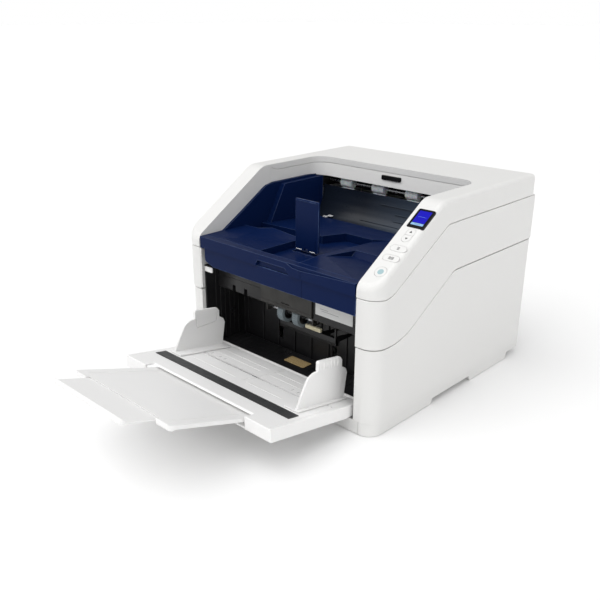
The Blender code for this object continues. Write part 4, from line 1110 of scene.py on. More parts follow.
class SCANNER_OT_output_tray(bpy.types.Operator):
    """Navy output tray with its folds, side walls, chute and stop flap"""
    bl_idname = "scanner.output_tray"
    bl_label = "Output tray"

    def execute(self, context):
        settings = context.scene.scanner_output
        half, base, high = 196.0, 254.0, LID_FRONT
        low = 265.0
        facets = [
            mound("floor", [(-half, 12.0, 263.0), (half, 12.0, 263.0), (half, 342.0, 258.0), (-half, 342.0, 258.0)], base),
            mound("rim", [(-half, 0.0, high), (half, 0.0, high), (half, 17.0, high), (-half, 17.0, high)], base - 1.0),
            mound("plateau_a", [(57.0, 16.0, high), (190.0, 14.0, high), (59.0, 81.0, 274.0), (50.0, 60.0, 274.0)], base),
            mound("ramp", [(59.0, 81.0, 274.0), (190.0, 14.0, high), (half, 14.0, high), (half, 140.0, 259.0),
                           (76.0, 140.0, 263.0)], base),
            mound("ridge", [(50.0, 60.0, 274.0), (59.0, 81.0, 274.0), (75.0, 148.0, 273.0), (83.0, 250.0, 272.0),
                            (67.0, 250.0, 272.0), (46.0, 77.0, 273.0)], base),
            mound("ridge_face", [(38.0, 17.0, 268.0), (57.0, 16.0, high), (50.0, 60.0, 274.0), (46.0, 77.0, 273.0),
                                 (67.0, 250.0, 272.0), (58.0, 250.0, low), (36.0, 77.0, low)], base),
            mound("plateau_b", [(75.0, 148.0, 273.0), (half, 148.0, 273.0), (half, 250.0, 272.0), (83.0, 250.0, 272.0)], base),
            mound("ramp_rise", [(74.0, 138.0, 263.0), (half, 138.0, 259.5), (half, 149.0, 273.0), (75.0, 149.0, 273.0)], base),
        ]
        tray = facets[0]
        join(tray, *facets[1:])
        plate = [
            mound("dish_front", [(-half, 0.0, high), (-45.0, 0.0, high), (-66.0, 40.0, 272.5), (-150.0, 46.0, 271.0)], base),
            mound("dish_right", [(-45.0, 0.0, high), (-45.0, 118.0, high - 1.0), (-66.0, 104.0, 271.5), (-66.0, 40.0, 272.5)], base),
            mound("dish_rear", [(-45.0, 118.0, high - 1.0), (-60.0, 128.0, high), (-136.0, 141.0, high),
                                (-158.0, 120.0, high), (-150.0, 104.0, 271.0), (-66.0, 104.0, 271.5)], base),
            mound("dish_left", [(-158.0, 120.0, high), (-half, 118.0, high), (-half, 0.0, high), (-150.0, 46.0, 271.0),
                                (-150.0, 104.0, 271.0)], base),
            mound("dish_floor", [(-66.0, 40.0, 272.5), (-66.0, 104.0, 271.5), (-150.0, 104.0, 271.0), (-150.0, 46.0, 271.0)], base),
        ]
        join(tray, *plate)
        rear = mound("rear_deck", [(-half, 165.0, 272.0), (-25.0, 166.0, high), (-5.0, 214.0, high), (60.0, 215.0, high),
                                   (83.0, 248.0, 272.0), (half, 248.0, 272.0), (half, 320.0, 263.0), (-half, 320.0, 263.0)], base)
        join(tray, rear)
        walls = []
        for side in (-1, 1):
            x = sorted((side * 194.0, side * 198.7))
            walls.append(prism("outer_wall", [(4.0, 257.0), (4.0, 262.0), (58.0, 274.5), (109.0, 304.7), (178.0, 347.4, 25.0),
                                              (197.3, 350.8), (341.0, 350.8), (341.0, 257.0)], *x))
            x = sorted((side * 182.0, side * 197.0))
            walls.append(prism("side_block", [(173.0, 258.0), (222.0, 347.0, 6.0), (341.0, 347.0), (341.0, 258.0)], *x))
        join(tray, *walls)
        carve(
            tray,
            prism("finger_recess", [(-38.0, 240.0), (46.5, 240.0), (46.5, 252.0, 6.0), (37.0, 265.5, 8.0), (-33.0, 265.0, 2.0),
                                    (-38.0, 258.0)], -5.0, 6.0, "Y"),
            prism("tab_fall", [(38.0, 290.0), (38.0, high + 0.2, 6.0), (55.0, 269.5, 8.0), (73.5, 268.6), (73.5, 268.6),
                               (200.0, 275.9), (200.0, 290.0)], -5.0, 1.6, "Y"),
            block("lip_joint", (73.4, 74.1), (-5.0, 0.8), (240.0, 290.0)),
            block("flap_recess", (-33.5, 34.5), (90.0, 104.0), (259.0, 276.0)),
            block("underside", (-half + 3.0, half - 3.0), (8.0, 338.0), (240.0, 256.2)),
        )
        # Lighter navy beads along the outward folds: painted highlight lines.
        mount(highlight_beads_on_folds("tray_folds", tray, 0.42), finishes["navy_edge"], "lid", "navy_plastic")
        ease(tray, settings.edge_radius / MM, segments=2, angle=12.0)
        mount(tray, finishes["navy"], "lid", "navy_plastic", "output_tray", angle=24.0)
        self.chute(settings)
        self.flap()
        return {"FINISHED"}

    def chute(self, settings):
        """Stepped slide that rises from the tray's floor to the exit rollers."""
        curve = []
        for step in range(21):
            turn = pi / 2.0 * step / 20
            ledge = step * settings.chute_steps // 21 * 0.6
            curve.append((306.0 + 37.0 * sin(turn) + ledge, 327.0 - 65.0 * cos(turn)))
        curve += [(348.0, 327.0), (348.0, 257.0), (306.0, 257.0)]
        slide = prism("chute", curve, -181.6, 181.6)
        mount(slide, finishes["chute"], "lid", "navy_plastic", angle=24.0)
        ledges = []
        for turn, low, high in ((0.55, -60.0, 150.0), (0.8, 20.0, 150.0), (1.05, 20.0, 110.0), (1.3, -20.0, 150.0)):
            spine = (306.4 + 37.0 * sin(turn), 327.0 - 65.0 * cos(turn))
            ledges.append(lathe("ledge", [(low, 0.0), (low, 1.0), (high, 1.0), (high, 0.0)], spine, 12))
        mount(gather("chute_ledges", *ledges), finishes["chute"], "lid", "navy_plastic")
        marks = [block("mark", (x, x + 11.0), (312.0, 319.0), (z, z + 2.2)) for x, z in ((-155.0, 263.4), (-141.0, 267.4))]
        mount(ease(gather("height_marks", *marks), 0.3, segments=2), finishes["film"], "lid", "label_film")

    def flap(self):
        plate = prism("flap", oblong(58.0, 97.0, 315.5, 2.5), 95.2, 98.8, "Y")
        ease(plate, 0.5, segments=3)
        join(plate, ease(block("rib_top", (-27.0, 27.0), (94.4, 95.4), (360.0, 361.6)), 0.3, segments=2))
        carve(plate, block("notch_a", (-6.0, 3.0), (90.0, 104.0), (262.0, 271.5)),
              block("slit", (21.0, 21.9), (90.0, 104.0), (262.0, 290.0)))
        mount(plate, finishes["navy"], "flap", "navy_plastic", "stop_flap")
        hinges = []
        for x in (-20.0, 14.0):
            hinges.append(ease(lathe("knuckle", [(x - 7.0, 0.0), (x - 7.0, 1.4), (x + 7.0, 1.4), (x + 7.0, 0.0)],
                                     (96.0, 267.0), 20), 0.4, segments=2, angle=40.0))
        mount(gather("flap_knuckles", *hinges), finishes["steel"], "lid", "zinc_steel")


class SCANNER_OT_exit_rollers(bpy.types.Operator):
    """Frosted exit rollers, their pinch rollers and the black guide over them"""
    bl_idname = "scanner.exit_rollers"
    bl_label = "Exit rollers"

    def execute(self, context):
        axis = (368.0, 335.0)
        rollers, pinch = [], []
        for x in (-130.0, -43.5, 43.5, 130.0):
            stations = [(x - 15.5, 0.0), (x - 15.5, 9.6), (x - 14.6, 10.5)]
            for groove in (-5.0, 5.0):
                stations += [(x + groove - 0.9, 10.5), (x + groove - 0.5, 9.7), (x + groove + 0.5, 9.7), (x + groove + 0.9, 10.5)]
            stations += [(x + 14.6, 10.5), (x + 15.5, 9.6), (x + 15.5, 0.0)]
            rollers.append(lathe("roller", stations, axis, 40))
            pinch.append(lathe("pinch", [(x - 15.5, 0.0), (x - 15.5, 3.4), (x - 14.9, 4.0), (x + 14.9, 4.0), (x + 15.5, 3.4),
                                         (x + 15.5, 0.0)], (368.0, 319.9), 24))
        mount(gather("exit_rollers", *rollers), finishes["roller"], "exit_rollers", "pale_roller_rubber", "exit_shaft")
        rod = lathe("exit_rod", [(-184.0, 0.0), (-184.0, 2.6), (-183.6, 3.0), (183.6, 3.0), (184.0, 2.6), (184.0, 0.0)], axis, 28)
        mount(rod, finishes["steel"], "exit_rollers", "zinc_steel")
        mount(gather("pinch_rollers", *pinch), finishes["roller"], "lid", "pale_roller_rubber", "exit_idlers")
        thin = lathe("pinch_rod", [(-176.0, 0.0), (-176.0, 1.5), (176.0, 1.5), (176.0, 0.0)], (368.0, 319.9), 16)
        mount(thin, finishes["steel"], "lid", "zinc_steel")
        guide = prism("exit_guide", [(363.0, 346.6), (363.0, 351.2), (392.0, 351.2), (392.0, 322.0), (386.0, 322.0),
                                     (384.0, 346.6)], -186.0, 186.0)
        teeth = along_row("guide_notches", block("notch", (-180.0, -176.0), (360.0, 365.0), (346.0, 349.0)), 31,
                          (11.8, 0.0, 0.0))
        carve(guide, teeth)
        guide = gather("exit_guide", guide, *(block("cheek", sorted((side * 184.5, side * 198.4)), (347.0, 392.0), (322.0, 350.0))
                                              for side in (-1, 1)))
        mount(ease(guide, 0.4, segments=2), finishes["liner"], "lid", "black_plastic")
        ticks = along_row("guide_marks", block("tick", (-170.0, -165.0), (362.7, 363.2), (349.2, 350.2)), 15, (24.0, 0.0, 0.0))
        mount(ticks, finishes["film"], "lid", "label_film")
        return {"FINISHED"}


# Feed bay ---------------------------------------------------------------------------------

class SCANNER_OT_feed_bay(bpy.types.Operator):
    """Black bay liner, crossbar, roller housing, navy fascia, label and release tab"""
    bl_idname = "scanner.feed_bay"
    bl_label = "Feed bay"

    def execute(self, context):
        settings = context.scene.scanner_feed
        outer, inner, rear = 198.6, 195.6, 115.0
        liner = prism("bay_liner", [(-outer, 10.0), (-inner, 10.0), (-inner, rear - 3.0), (inner, rear - 3.0), (inner, 10.0),
                                    (outer, 10.0), (outer, rear), (-outer, rear)], 28.3, 215.0, "Z")
        carve(liner, block("slot_left", (-92.0, -79.0), (105.0, 120.0), (60.0, 84.0)),
              block("slot_right", (54.0, 67.0), (105.0, 120.0), (60.0, 84.0)))
        mount(ease(liner, 0.6, segments=2), finishes["liner"], "housing", "black_plastic", "bay_liner")
        pitch = settings.rib_pitch
        for label, side in (("left", -1), ("right", 1)):
            x = sorted((side * inner, side * (inner - 1.2)))
            rib = ease(block("rib", x, (34.0, 35.6), (32.0, 206.0)), 0.4, segments=2)
            ribs = along_row("wall_ribs_" + label, rib, 6, (0.0, pitch / MM, 0.0), finishes["liner"])
            mount(ribs, finishes["liner"], "housing", "black_plastic")
        rib = ease(block("rib", (-180.8, -179.2), (109.4, 112.2), (34.0, 160.0)), 0.5, segments=2)
        mount(along_row("rear_ribs", rib, 9, (45.2, 0.0, 0.0)), finishes["liner"], "housing", "black_plastic")
        self.crossbar()
        self.housing()
        self.carriage()
        fascia = prism("fascia", [(-189.0, 252.4, 1.0), (-189.0, 227.0, 4.0), (-165.0, 218.0, 4.0), (195.0, 218.0, 1.0),
                                  (195.0, 252.4, 1.0)], 4.0, 8.0, "Y")
        ease(fascia, 0.8, segments=3)
        carve(fascia, block("joint", (73.4, 74.0), (3.0, 4.6), (210.0, 260.0)))
        mount(fascia, finishes["navy"], "housing", "navy_plastic", "front_fascia")
        trim = prism("pillar_trim", rectangle(-195.0, -172.0, 203.5, 213.5, 2.0), 7.0, 10.0, "Y")
        notched = block("notched_strip", (-198.7, -195.2), (0.6, 3.2), (170.0, 252.0))
        carve(notched, along_row("notches", block("notch", (-196.4, -194.0), (0.0, 4.0), (176.0, 178.4)), 11, (0.0, 0.0, 6.4)))
        mount(ease(gather("pillar_trim", trim, notched), 0.4, segments=2), finishes["shell"], "housing", "warm_white_plastic")
        label = block("size_label", (73.0, 160.0), (41.2, 41.7), (177.0, 201.0))
        mount(ease(label, 0.12, segments=1), finishes["film"], "housing", "label_film", "guide_label")
        lines = [block("line", (low, high), (41.05, 41.3), (z, z + 0.6)) for low, high, z in ((84.0, 104.0, 190.0), (88.0, 128.0, 186.6))]
        mount(gather("label_lines", *lines), finishes["grey"], "housing", "black_plastic")
        tab = prism("release", rectangle(30.2, 68.8, 131.7, 139.3, 1.5), 60.2, 65.8, "Y")
        ease(tab, 0.7, segments=3)
        ridge = lathe("ridge", [(133.0, 0.0), (133.0, 0.7), (138.0, 0.7), (138.0, 0.0)], (36.0, 60.2), 12, "Z")
        mount(gather("release_tab", tab, along_row("ridges", ridge, 10, (3.0, 0.0, 0.0))), finishes["cream"], "housing",
              "cream_plastic", "release_tab")
        return {"FINISHED"}

    def carriage(self):
        """Guide bars and brackets behind the pick rollers, which the release tab hangs from."""
        front = prism("front_bar", [(67.0, 118.0, 1.0), (71.0, 118.0, 1.0), (71.0, 128.0, 1.0), (67.0, 128.0, 1.0)], -42.0, 100.0)
        rear = prism("rear_bar", [(105.5, 89.0, 1.0), (112.0, 89.0), (112.0, 104.0), (105.5, 104.0, 1.0)], -80.0, 68.0)
        arms = [prism("arm", [(67.5, 118.5, 1.0), (112.0, 118.5), (112.0, 124.0), (71.5, 131.0), (71.5, 147.0, 1.0),
                              (67.5, 147.0, 1.0)], x, x + 3.0) for x in (-42.0, 62.5, 97.0)]
        stalk = block("stalk", (59.0, 64.0), (66.0, 68.0), (133.0, 150.0))
        frame = gather("pick_carriage", front, rear, *arms, stalk)
        mount(ease(frame, 0.6, segments=2), finishes["liner"], "housing", "dark_grey_plastic")

    def crossbar(self):
        bar = prism("crossbar", [(42.0, 162.0, 3.0), (60.0, 162.0), (60.0, 215.0), (42.0, 215.0, 1.0)], -195.3, 195.3)
        ease(bar, 0.7, segments=2)
        carve(bar, block("housing_gap", (-66.3, 66.3), (0.0, 200.0), (150.0, 205.3)))
        slots = [block("bar_notch", (x, x + 9.0), (30.0, 50.0), (150.0, 176.0)) for x in (-152.0, -118.0)]
        panel = block("panel_line", (-193.0, -70.0), (41.0, 42.7), (189.2, 190.2))
        right = block("panel_line", (68.8, 193.0), (41.0, 42.7), (203.6, 204.4))
        carve(bar, *slots, panel, right)
        mount(bar, finishes["liner"], "housing", "dark_grey_plastic", "front_crossbar")

    def housing(self):
        shell = prism("roller_housing", [(38.0, 165.0, 2.0), (38.0, 205.0, 5.0), (111.7, 205.0), (111.7, 165.0)], -66.0, 66.0)
        ease(shell, 0.9, segments=3)
        carve(shell, block("inside", (-62.0, 62.0), (41.0, 107.0), (100.0, 201.0)))
        for side in (-1, 1):
            x = sorted((side * 61.5, side * 58.0))
            cheek = prism("cheek", [(48.0, 146.0, 4.0), (76.0, 146.0, 4.0), (76.0, 202.0), (48.0, 202.0)], *x)
            tie = block("tie", sorted((side * 57.0, side * 63.0)), (50.0, 74.0), (190.0, 203.0))
            join(shell, cheek, tie)
        carve(shell, lathe("bore", [(-64.0, 0.0), (-64.0, 3.6), (64.0, 3.6), (64.0, 0.0)], (62.0, 151.0), 24),
              block("line", (-70.0, 70.0), (37.0, 38.6), (172.2, 173.0)),
              block("window", (-11.0, 11.0), (36.0, 40.0), (176.0, 178.0)))
        mount(shell, finishes["umber"], "housing", "dark_grey_plastic", "roller_housing")


class SCANNER_OT_pick_rollers(bpy.types.Operator):
    """Two ribbed pick rollers with black hubs on a steel shaft"""
    bl_idname = "scanner.pick_rollers"
    bl_label = "Pick rollers"

    def execute(self, context):
        teeth = context.scene.scanner_feed.roller_teeth
        axis = (62.0, 151.0)
        for label, side in (("left", -1), ("right", 1)):
            x = side * 19.5
            tyre = lathe("tyre", [(x - 7.5, 13.4), (x - 7.5, 18.4), (x - 7.0, 19.1), (x + 7.0, 19.1), (x + 7.5, 18.4),
                                  (x + 7.5, 13.4), (x - 7.5, 13.4)], axis, 56)
            tooth = block("tooth", (x - 7.2, x + 7.2), (-0.7, 0.7), (18.7, 20.0))
            tooth.data.transform(Matrix.Translation(-at(0.0, 0.0, 0.0)))
            ease(tooth, 0.35, segments=2)
            teeth_row = repeat("teeth", trees["wheel"], tooth, finishes["tyre"], count=teeth, centre=tuple(at(0.0, *axis)))
            mount(gather("pick_tyre_" + label, tyre, teeth_row), finishes["tyre"], "pick_rollers", "pale_roller_rubber",
                  "pick_roller_" + label)
            hub = lathe("hub", [(x - 7.2, 3.5), (x - 7.2, 6.4), (x - 5.6, 7.0), (x - 5.6, 11.6), (x - 7.2, 12.0),
                                (x - 7.2, 13.4), (x + 7.2, 13.4), (x + 7.2, 12.0), (x + 5.6, 11.6), (x + 5.6, 7.0),
                                (x + 7.2, 6.4), (x + 7.2, 3.5), (x - 7.2, 3.5)], axis, 40)
            mount(hub, finishes["liner"], "pick_rollers", "black_plastic")
        shaft = lathe("pick_shaft", [(-61.0, 0.0), (-61.0, 2.8), (-60.6, 3.2), (-47.0, 3.2), (-47.0, 2.7), (-45.6, 2.7),
                                     (-45.6, 3.2), (45.6, 3.2), (45.6, 2.7), (47.0, 2.7), (47.0, 3.2), (60.6, 3.2),
                                     (61.0, 2.8), (61.0, 0.0)], axis, 32)
        mount(shaft, finishes["steel"], "pick_rollers", "zinc_steel", "pick_shaft")
        return {"FINISHED"}


# Input side -------------------------------------------------------------------------------

def tray_top(y):
    return 86.8 - tan(TRAY_TILT) * (y + 190.0)


def extension_top(y):
    return 127.5 - tan(EXTENSION_TILT) * (y + 331.0)


def on_tray(name, points, low, high):
    """An outline (x, y) laid on the sloping tray, between two heights over it."""
    return leaning_prism(name, [(x, (y + 190.0) / cos(TRAY_TILT), *r) for x, y, *r in points], low, high,
                         (0.0, -190.0, 86.8), -TRAY_TILT)


def rectangle(x1, x2, y1, y2, *radius):
    return [(x1, y1, *radius), (x2, y1, *radius), (x2, y2, *radius), (x1, y2, *radius)]


class SCANNER_OT_input_tray(bpy.types.Operator):
    """Sloping input tray with its strip, guide marks, lifting platform and cork pad"""
    bl_idname = "scanner.input_tray"
    bl_label = "Input tray"

    def execute(self, context):
        settings = context.scene.scanner_input
        edge = settings.edge_radius / MM
        thick = 24.4
        tray = prism("tray", [(-190.0, tray_top(-190.0)), (-190.0, tray_top(-190.0) - thick, 3.0),
                              (-8.0, tray_top(-8.0) - thick), (38.0, 30.0), (38.0, tray_top(38.0))], -193.0, 193.0)
        carve(tray, prism("notch", [(-200.0, 40.0), (-173.5, 40.0), (-173.5, 78.5), (-163.5, 88.5), (-163.5, 120.0),
                                    (-200.0, 120.0)], -133.0, 133.0))
        ease(tray, edge, segments=4)
        pocket = prism("pocket", [(-186.0, tray_top(-186.0) - 3.0), (-186.0, 0.0), (34.0, 0.0), (34.0, tray_top(34.0) - 3.0)],
                       -189.5, 189.5)
        g = settings.groove / MM
        cuts = [
            pocket,
            block("guide_slot", (-168.0, 168.0), (-52.0, -44.0), (40.0, 120.0)),
            on_tray("strip_bed", rectangle(-178.6, 178.6, -135.6, -110.4), -0.5, 4.0),
        ]
        for x in (-186.5, 186.5 - g):
            cuts.append(on_tray("side_line", rectangle(x, x + g, -184.0, 34.0), -0.5, 2.0))
        cuts.append(on_tray("middle_joint", rectangle(10.4, 11.6, -89.0, 28.0), -0.6, 2.0))
        cuts += [block("lock_slot", (x, x + 5.0), (-35.0, -32.6), (40.0, 120.0)) for x in (169.5, 178.0)]
        cuts.append(on_tray("rear_line", rectangle(-192.0, 192.0, 29.4, 30.2), -0.5, 2.0))
        carve(tray, *cuts)
        join(tray, block("shelf", (-133.4, 133.4), (-189.0, -168.0), (63.5, 66.5)))
        mount(tray, finishes["tray_white"], "tray", "warm_white_plastic", "input_tray")
        strip = on_tray("strip", rectangle(-178.0, 178.0, -135.0, -111.0, 1.0), -0.2, 0.9)
        mount(ease(strip, 0.3, segments=2), finishes["strip"], "tray", "dark_grey_plastic", "tray_strip")
        ridges = [on_tray("ridge", rectangle(x1, x2, y - 0.8, y + 0.8, 0.5), -0.3, 0.45)
                  for x1, x2, y in ((-132.0, -8.0, -83.0), (21.0, 112.0, -83.0), (-132.0, -8.0, 0.7), (17.0, 112.0, 0.7),
                                    (-132.0, -8.0, -20.0), (17.0, 112.0, -20.0))]
        mount(ease(gather("tray_ridges", *ridges), 0.3, segments=2), finishes["button"], "tray", "warm_white_plastic")
        marks = [on_tray("mark", rectangle(x - 0.35, x + 0.35, -40.0, -32.0), -0.02, 0.08)
                 for x in (-148.5, -128.5, -105.0, -91.0, 91.0, 105.0, 128.5, 148.5)]
        mount(gather("size_marks", *marks), finishes["strip"], "tray", "dark_grey_plastic")
        platform = prism("platform", [(38.3, 37.0, 1.0), (104.0, 37.0, 1.0), (104.0, 45.0, 2.0), (38.3, 45.0, 1.0)], -191.0, 191.0)
        ease(platform, 0.5, segments=2)
        carve(platform, block("pad_bed", (-26.6, 26.6), (59.4, 84.6), (44.6, 50.0)))
        grooves = along_row("platform_grooves", block("groove", (-180.0, -179.0), (50.0, 100.0), (44.4, 46.0)), 10,
                            (15.6, 0.0, 0.0))
        more = along_row("platform_grooves", block("groove", (39.0, 40.0), (50.0, 100.0), (44.4, 46.0)), 10, (15.6, 0.0, 0.0))
        carve(platform, grooves, more)
        mount(platform, finishes["liner"], "tray", "black_plastic", "lift_platform")
        pad = prism("pad", rectangle(-26.0, 26.0, 60.0, 84.0, 1.5), 45.0, 46.3, "Z")
        mount(ease(pad, 0.4, segments=2), finishes["cork"], "tray", "tan_cork_rubber", "stack_pad")
        lips = [block("lip", (-189.0, 189.0), (y, y + 1.4), (tray_top(y) - 1.0, tray_top(y) + 0.7)) for y in (32.0, 35.4)]
        mount(ease(gather("tray_lips", *lips), 0.3, segments=2), finishes["button"], "tray", "warm_white_plastic")
        return {"FINISHED"}


class SCANNER_OT_side_guides(bpy.types.Operator):
    """Two side guides with ribbed grips, their racks, and the pinion between them"""
    bl_idname = "scanner.side_guides"
    bl_label = "Side guides"

    def execute(self, context):
        settings = context.scene.scanner_input
        for label, side in (("left", -1), ("right", 1)):
            self.guide(label, side, settings)
        bottom = tray_top(-48.0) - 11.0
        pinion = lathe("pinion", [(bottom, 0.0), (bottom, 7.0), (bottom + 6.0, 7.0), (bottom + 6.0, 0.0)], (0.0, -48.0), 32, "Z")
        teeth = [block("tooth", (-0.7, 0.7), (6.6, 8.0), (bottom, bottom + 6.0)) for _ in range(16)]
        for index, tooth in enumerate(teeth):
            turn = Matrix.Rotation(2.0 * pi * index / len(teeth), 4, "Z")
            tooth.data.transform(Matrix.Translation(at(0.0, -48.0, 0.0)) @ turn @ Matrix.Translation(-at(0.0, 0.0, 0.0)))
        mount(gather("guide_pinion", pinion, *teeth), finishes["grey"], "pinion", "grey_plastic", "guide_pinion")
        return {"FINISHED"}

    def guide(self, label, side, settings):
        outline = [(-102.5, tray_top(-102.5) + 0.6), (-91.0, 94.0, 6.0), (-74.0, 122.0, 16.0), (-61.0, 126.5, 8.0),
                   (-51.0, 126.5, 1.0), (-50.0, 144.0, 3.5), (6.6, 134.0, 5.0), (12.0, 127.0, 3.0), (11.8, 114.0, 3.0),
                   (22.0, 107.4, 4.0), (25.7, 98.0, 2.0), (17.5, tray_top(17.5) + 0.6)]
        sheet = prism("sheet", outline, *sorted((side * 160.0, side * 164.0)))
        tab = prism("tab", [(-51.0, 126.8, 1.0), (-50.3, 144.4, 3.5), (6.9, 134.4, 5.0), (9.6, 126.8, 1.0)],
                    *sorted((side * 158.7, side * 165.0)))
        join(ease(sheet, 1.2, segments=3), ease(tab, 0.8, segments=2))
        groove = prism("groove", rectangle(-48.0, 4.0, 106.0, 140.0, 5.0), *sorted((side * 161.8, side * 159.0)))
        carve(groove, prism("inside", rectangle(-46.7, 2.7, 107.4, 150.0, 3.8), *sorted((side * 170.0, side * 150.0))))
        carve(sheet, keep(groove, block("below_tab", (-180.0, 180.0), (-60.0, 30.0), (90.0, 126.0))))
        foot = [(-106.0, tray_top(-106.0) + 0.6), (17.5, tray_top(17.5) + 0.6), (17.5, tray_top(17.5) + 3.2, 1.0),
                (-106.0, tray_top(-106.0) + 3.2, 1.0)]
        flange = prism("flange", foot, *sorted((side * 138.0, side * 171.0)))
        join(sheet, ease(flange, 0.8, segments=3))
        top = tray_top(-48.0) - 6.0
        rack_y = (-39.4, -35.4) if side > 0 else (-60.6, -56.6)
        neck = sorted((side * 158.0, side * 166.0))
        join(sheet,
             block("neck", neck, (-50.5, -45.5), (tray_top(-48.0) - 9.0, tray_top(-48.0) + 2.0)),
             block("link", neck, (min(rack_y[0], -50.5), max(rack_y[1], -45.5)), (top - 4.0, top)),
             block("rack", sorted((side * 166.0, side * -8.0)), rack_y, (top - 4.0, top)))
        body = "guide_" + label
        mount(sheet, finishes["tray_white"], body, "warm_white_plastic", label + "_guide")
        rib = lathe("rib", [(127.5, 0.0), (128.0, 0.9), (141.5, 0.9), (142.0, 0.0)], (side * 165.0, -44.0), 12, "Z")
        keep(rib, block("under_rim", (-180.0, 180.0), (-60.0, 30.0), (110.0, 140.5)))
        ribs = along_row("grip_" + label, rib, settings.grip_ribs, (0.0, 8.6, -1.5), finishes["tray_white"])
        mount(ribs, finishes["tray_white"], body, "warm_white_plastic")


class SCANNER_OT_extensions(bpy.types.Operator):
    """Two telescoping tray extensions with upturned lips"""
    bl_idname = "scanner.extensions"
    bl_label = "Tray extensions"

    def execute(self, context):
        front, high, half, rear = -331.0, 127.5, 130.0, -162.0
        sheet = prism("extension", [(front, high, 1.5), (front, high - 10.0, 1.5), (front + 6.0, high - 11.0),
                                    (front + 8.0, extension_top(front + 8.0) - 7.0), (rear, extension_top(rear) - 7.0),
                                    (rear, extension_top(rear))], -half, half)
        keep(sheet, prism("corners", [(-half, front, 8.0), (half, front, 8.0), (half, rear, 2.0), (-half, rear, 2.0)],
                          20.0, 180.0, "Z"))
        ease(sheet, 1.0, segments=3)
        drop = tan(EXTENSION_TILT)
        channel = [(front - 5.0, extension_top(front - 5.0) - 2.0), (front - 5.0, extension_top(front) - 30.0),
                   (rear - 5.0, extension_top(rear - 5.0) - 30.0), (rear - 5.0, extension_top(rear - 5.0) - 2.0)]
        dip = [(front - 5.0, high + 5.0), (front - 5.0, high - 30.0), (front + 7.0, high - 12.0 * drop - 30.0),
               (front + 7.0, high + 5.0)]
        carve(sheet, prism("channel", channel, -96.0, 96.0), prism("dip", dip, -96.0, 96.0))
        g = context.scene.scanner_input.groove / MM
        lines = [leaning_prism("line", rectangle(x, x + g, 14.0, 168.0), -0.4, 2.0, (0.0, front, high), -EXTENSION_TILT)
                 for x in (-112.0, 112.0 - g)]
        carve(sheet, *lines)
        mount(sheet, finishes["tray_white"], "extension", "warm_white_plastic", "tray_extension")
        end, reach = -388.0, front + 62.0
        inner = prism("inner", [(end, 137.0, 1.0), (end + 2.0, 148.0, 1.2), (end + 8.0, extension_top(end + 8.0) - 2.6, 3.0),
                                (reach, extension_top(reach) - 2.6), (reach, extension_top(reach) - 5.6),
                                (end + 8.0, extension_top(end + 8.0) - 5.6)], -95.0, 95.0)
        keep(inner, prism("corners", [(-95.0, end, 7.0), (95.0, end, 7.0), (95.0, reach), (-95.0, reach)], 40.0, 200.0, "Z"))
        ease(inner, 0.8, segments=3)
        mount(inner, finishes["tray_white"], "extension_inner", "warm_white_plastic", "tray_extension_inner")
        return {"FINISHED"}


# Inside -----------------------------------------------------------------------------------

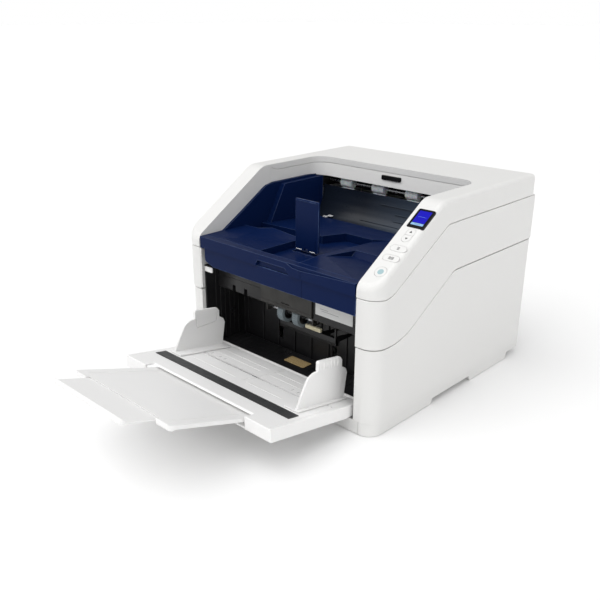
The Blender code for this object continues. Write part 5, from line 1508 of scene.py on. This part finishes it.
class SCANNER_OT_transport(bpy.types.Operator):
    """Scan units, frames, transport shafts, drive and boards inside the housing"""
    bl_idname = "scanner.transport"
    bl_label = "Transport"

    def execute(self, context):
        for finish, nodes in (
            ("zinc", ("left_frame", "right_frame", "power_supply")),
            ("grey", ("lower_scan_unit", "upper_scan_unit", "drive_motor")),
            ("glass", ("lower_scan_glass", "upper_scan_glass")),
            ("rubber", ("drive_belt",)),
            ("steel", ("motor_pulley",)),
            ("board", ("main_board",)),
        ):
            for node in nodes:
                paint(node, finishes[finish])
        self.shaft("feed", (136.0, 118.0), 18.0, 11.0)
        self.shaft("turn", (420.0, 190.0), 20.0, 34.0)
        chips = along_row("board_chips", ease(block("chip", (-130.0, -114.0), (330.0, 346.0), (34.0, 36.4)), 0.3, segments=1),
                          6, (26.0, 14.0, 0.0))
        mount(chips, finishes["liner"], "housing", "black_plastic")
        return {"FINISHED"}

    def shaft(self, label, axis, half, radius):
        """Steel shaft with four rubber rollers; the feed shaft also has its toothed pulley."""
        tyres = []
        for x in (-110.0, -36.0, 36.0, 110.0):
            tyres.append(lathe("tyre", [(x - half, 4.0), (x - half, radius - 0.6), (x - half + 0.6, radius),
                                        (x + half - 0.6, radius), (x + half, radius - 0.6), (x + half, 4.0),
                                        (x - half, 4.0)], axis, 48))
        mount(gather(label + "_tyres", *tyres), finishes["rubber"], label + "_rollers", "black_rubber", label + "_shaft")
        rod = lathe(label + "_rod", [(-184.0, 0.0), (-184.0, 3.6), (-183.6, 4.0), (183.6, 4.0), (184.0, 3.6), (184.0, 0.0)],
                    axis, 32)
        mount(rod, finishes["steel"], label + "_rollers", "zinc_steel")
        if label == "feed":
            pulley = lathe("feed_pulley", [(-194.0, 0.0), (-194.0, 13.4), (-193.4, 14.0), (-183.0, 14.0), (-183.0, 0.0)],
                           axis, 48)
            mount(pulley, finishes["steel"], "feed_rollers", "zinc_steel")


# Panel and run ----------------------------------------------------------------------------

STEPS = (
    SCANNER_OT_stage, SCANNER_OT_columns, SCANNER_OT_base, SCANNER_OT_rear, SCANNER_OT_lid,
    SCANNER_OT_panel_parts, SCANNER_OT_output_tray, SCANNER_OT_exit_rollers, SCANNER_OT_feed_bay,
    SCANNER_OT_pick_rollers, SCANNER_OT_input_tray, SCANNER_OT_side_guides, SCANNER_OT_extensions,
    SCANNER_OT_transport,
)
SETTINGS = {
    "scanner_housing": HousingSettings, "scanner_panel": PanelSettings, "scanner_output": OutputSettings,
    "scanner_feed": FeedSettings, "scanner_input": InputSettings, "scanner_stage": StageSettings,
}


class SCANNER_PT_build(bpy.types.Panel):
    """Settings and makers of the document scanner"""
    bl_idname = "SCANNER_PT_build"
    bl_label = "Document Scanner"
    bl_space_type = "VIEW_3D"
    bl_region_type = "UI"
    bl_category = "Scanner"

    def draw(self, context):
        for name, group in SETTINGS.items():
            box = self.layout.box()
            for field in group.__annotations__:
                box.prop(getattr(context.scene, name), field)
        for step in STEPS:
            self.layout.operator(step.bl_idname)


def register():
    for group in SETTINGS.values():
        bpy.utils.register_class(group)
    for name, group in SETTINGS.items():
        setattr(bpy.types.Scene, name, PointerProperty(type=group))
    for item in (*STEPS, SCANNER_PT_build):
        bpy.utils.register_class(item)


def unregister():
    for item in (SCANNER_PT_build, *reversed(STEPS)):
        bpy.utils.unregister_class(item)
    for name, group in SETTINGS.items():
        delattr(bpy.types.Scene, name)
        bpy.utils.unregister_class(group)


def main():
    register()
    trees.update(row=row_tree(), wheel=wheel_tree())
    make_finishes(bpy.context.scene)
    for step in STEPS:
        family, name = step.bl_idname.split(".")
        getattr(getattr(bpy.ops, family), name)()


if __name__ == "__main__":
    main()
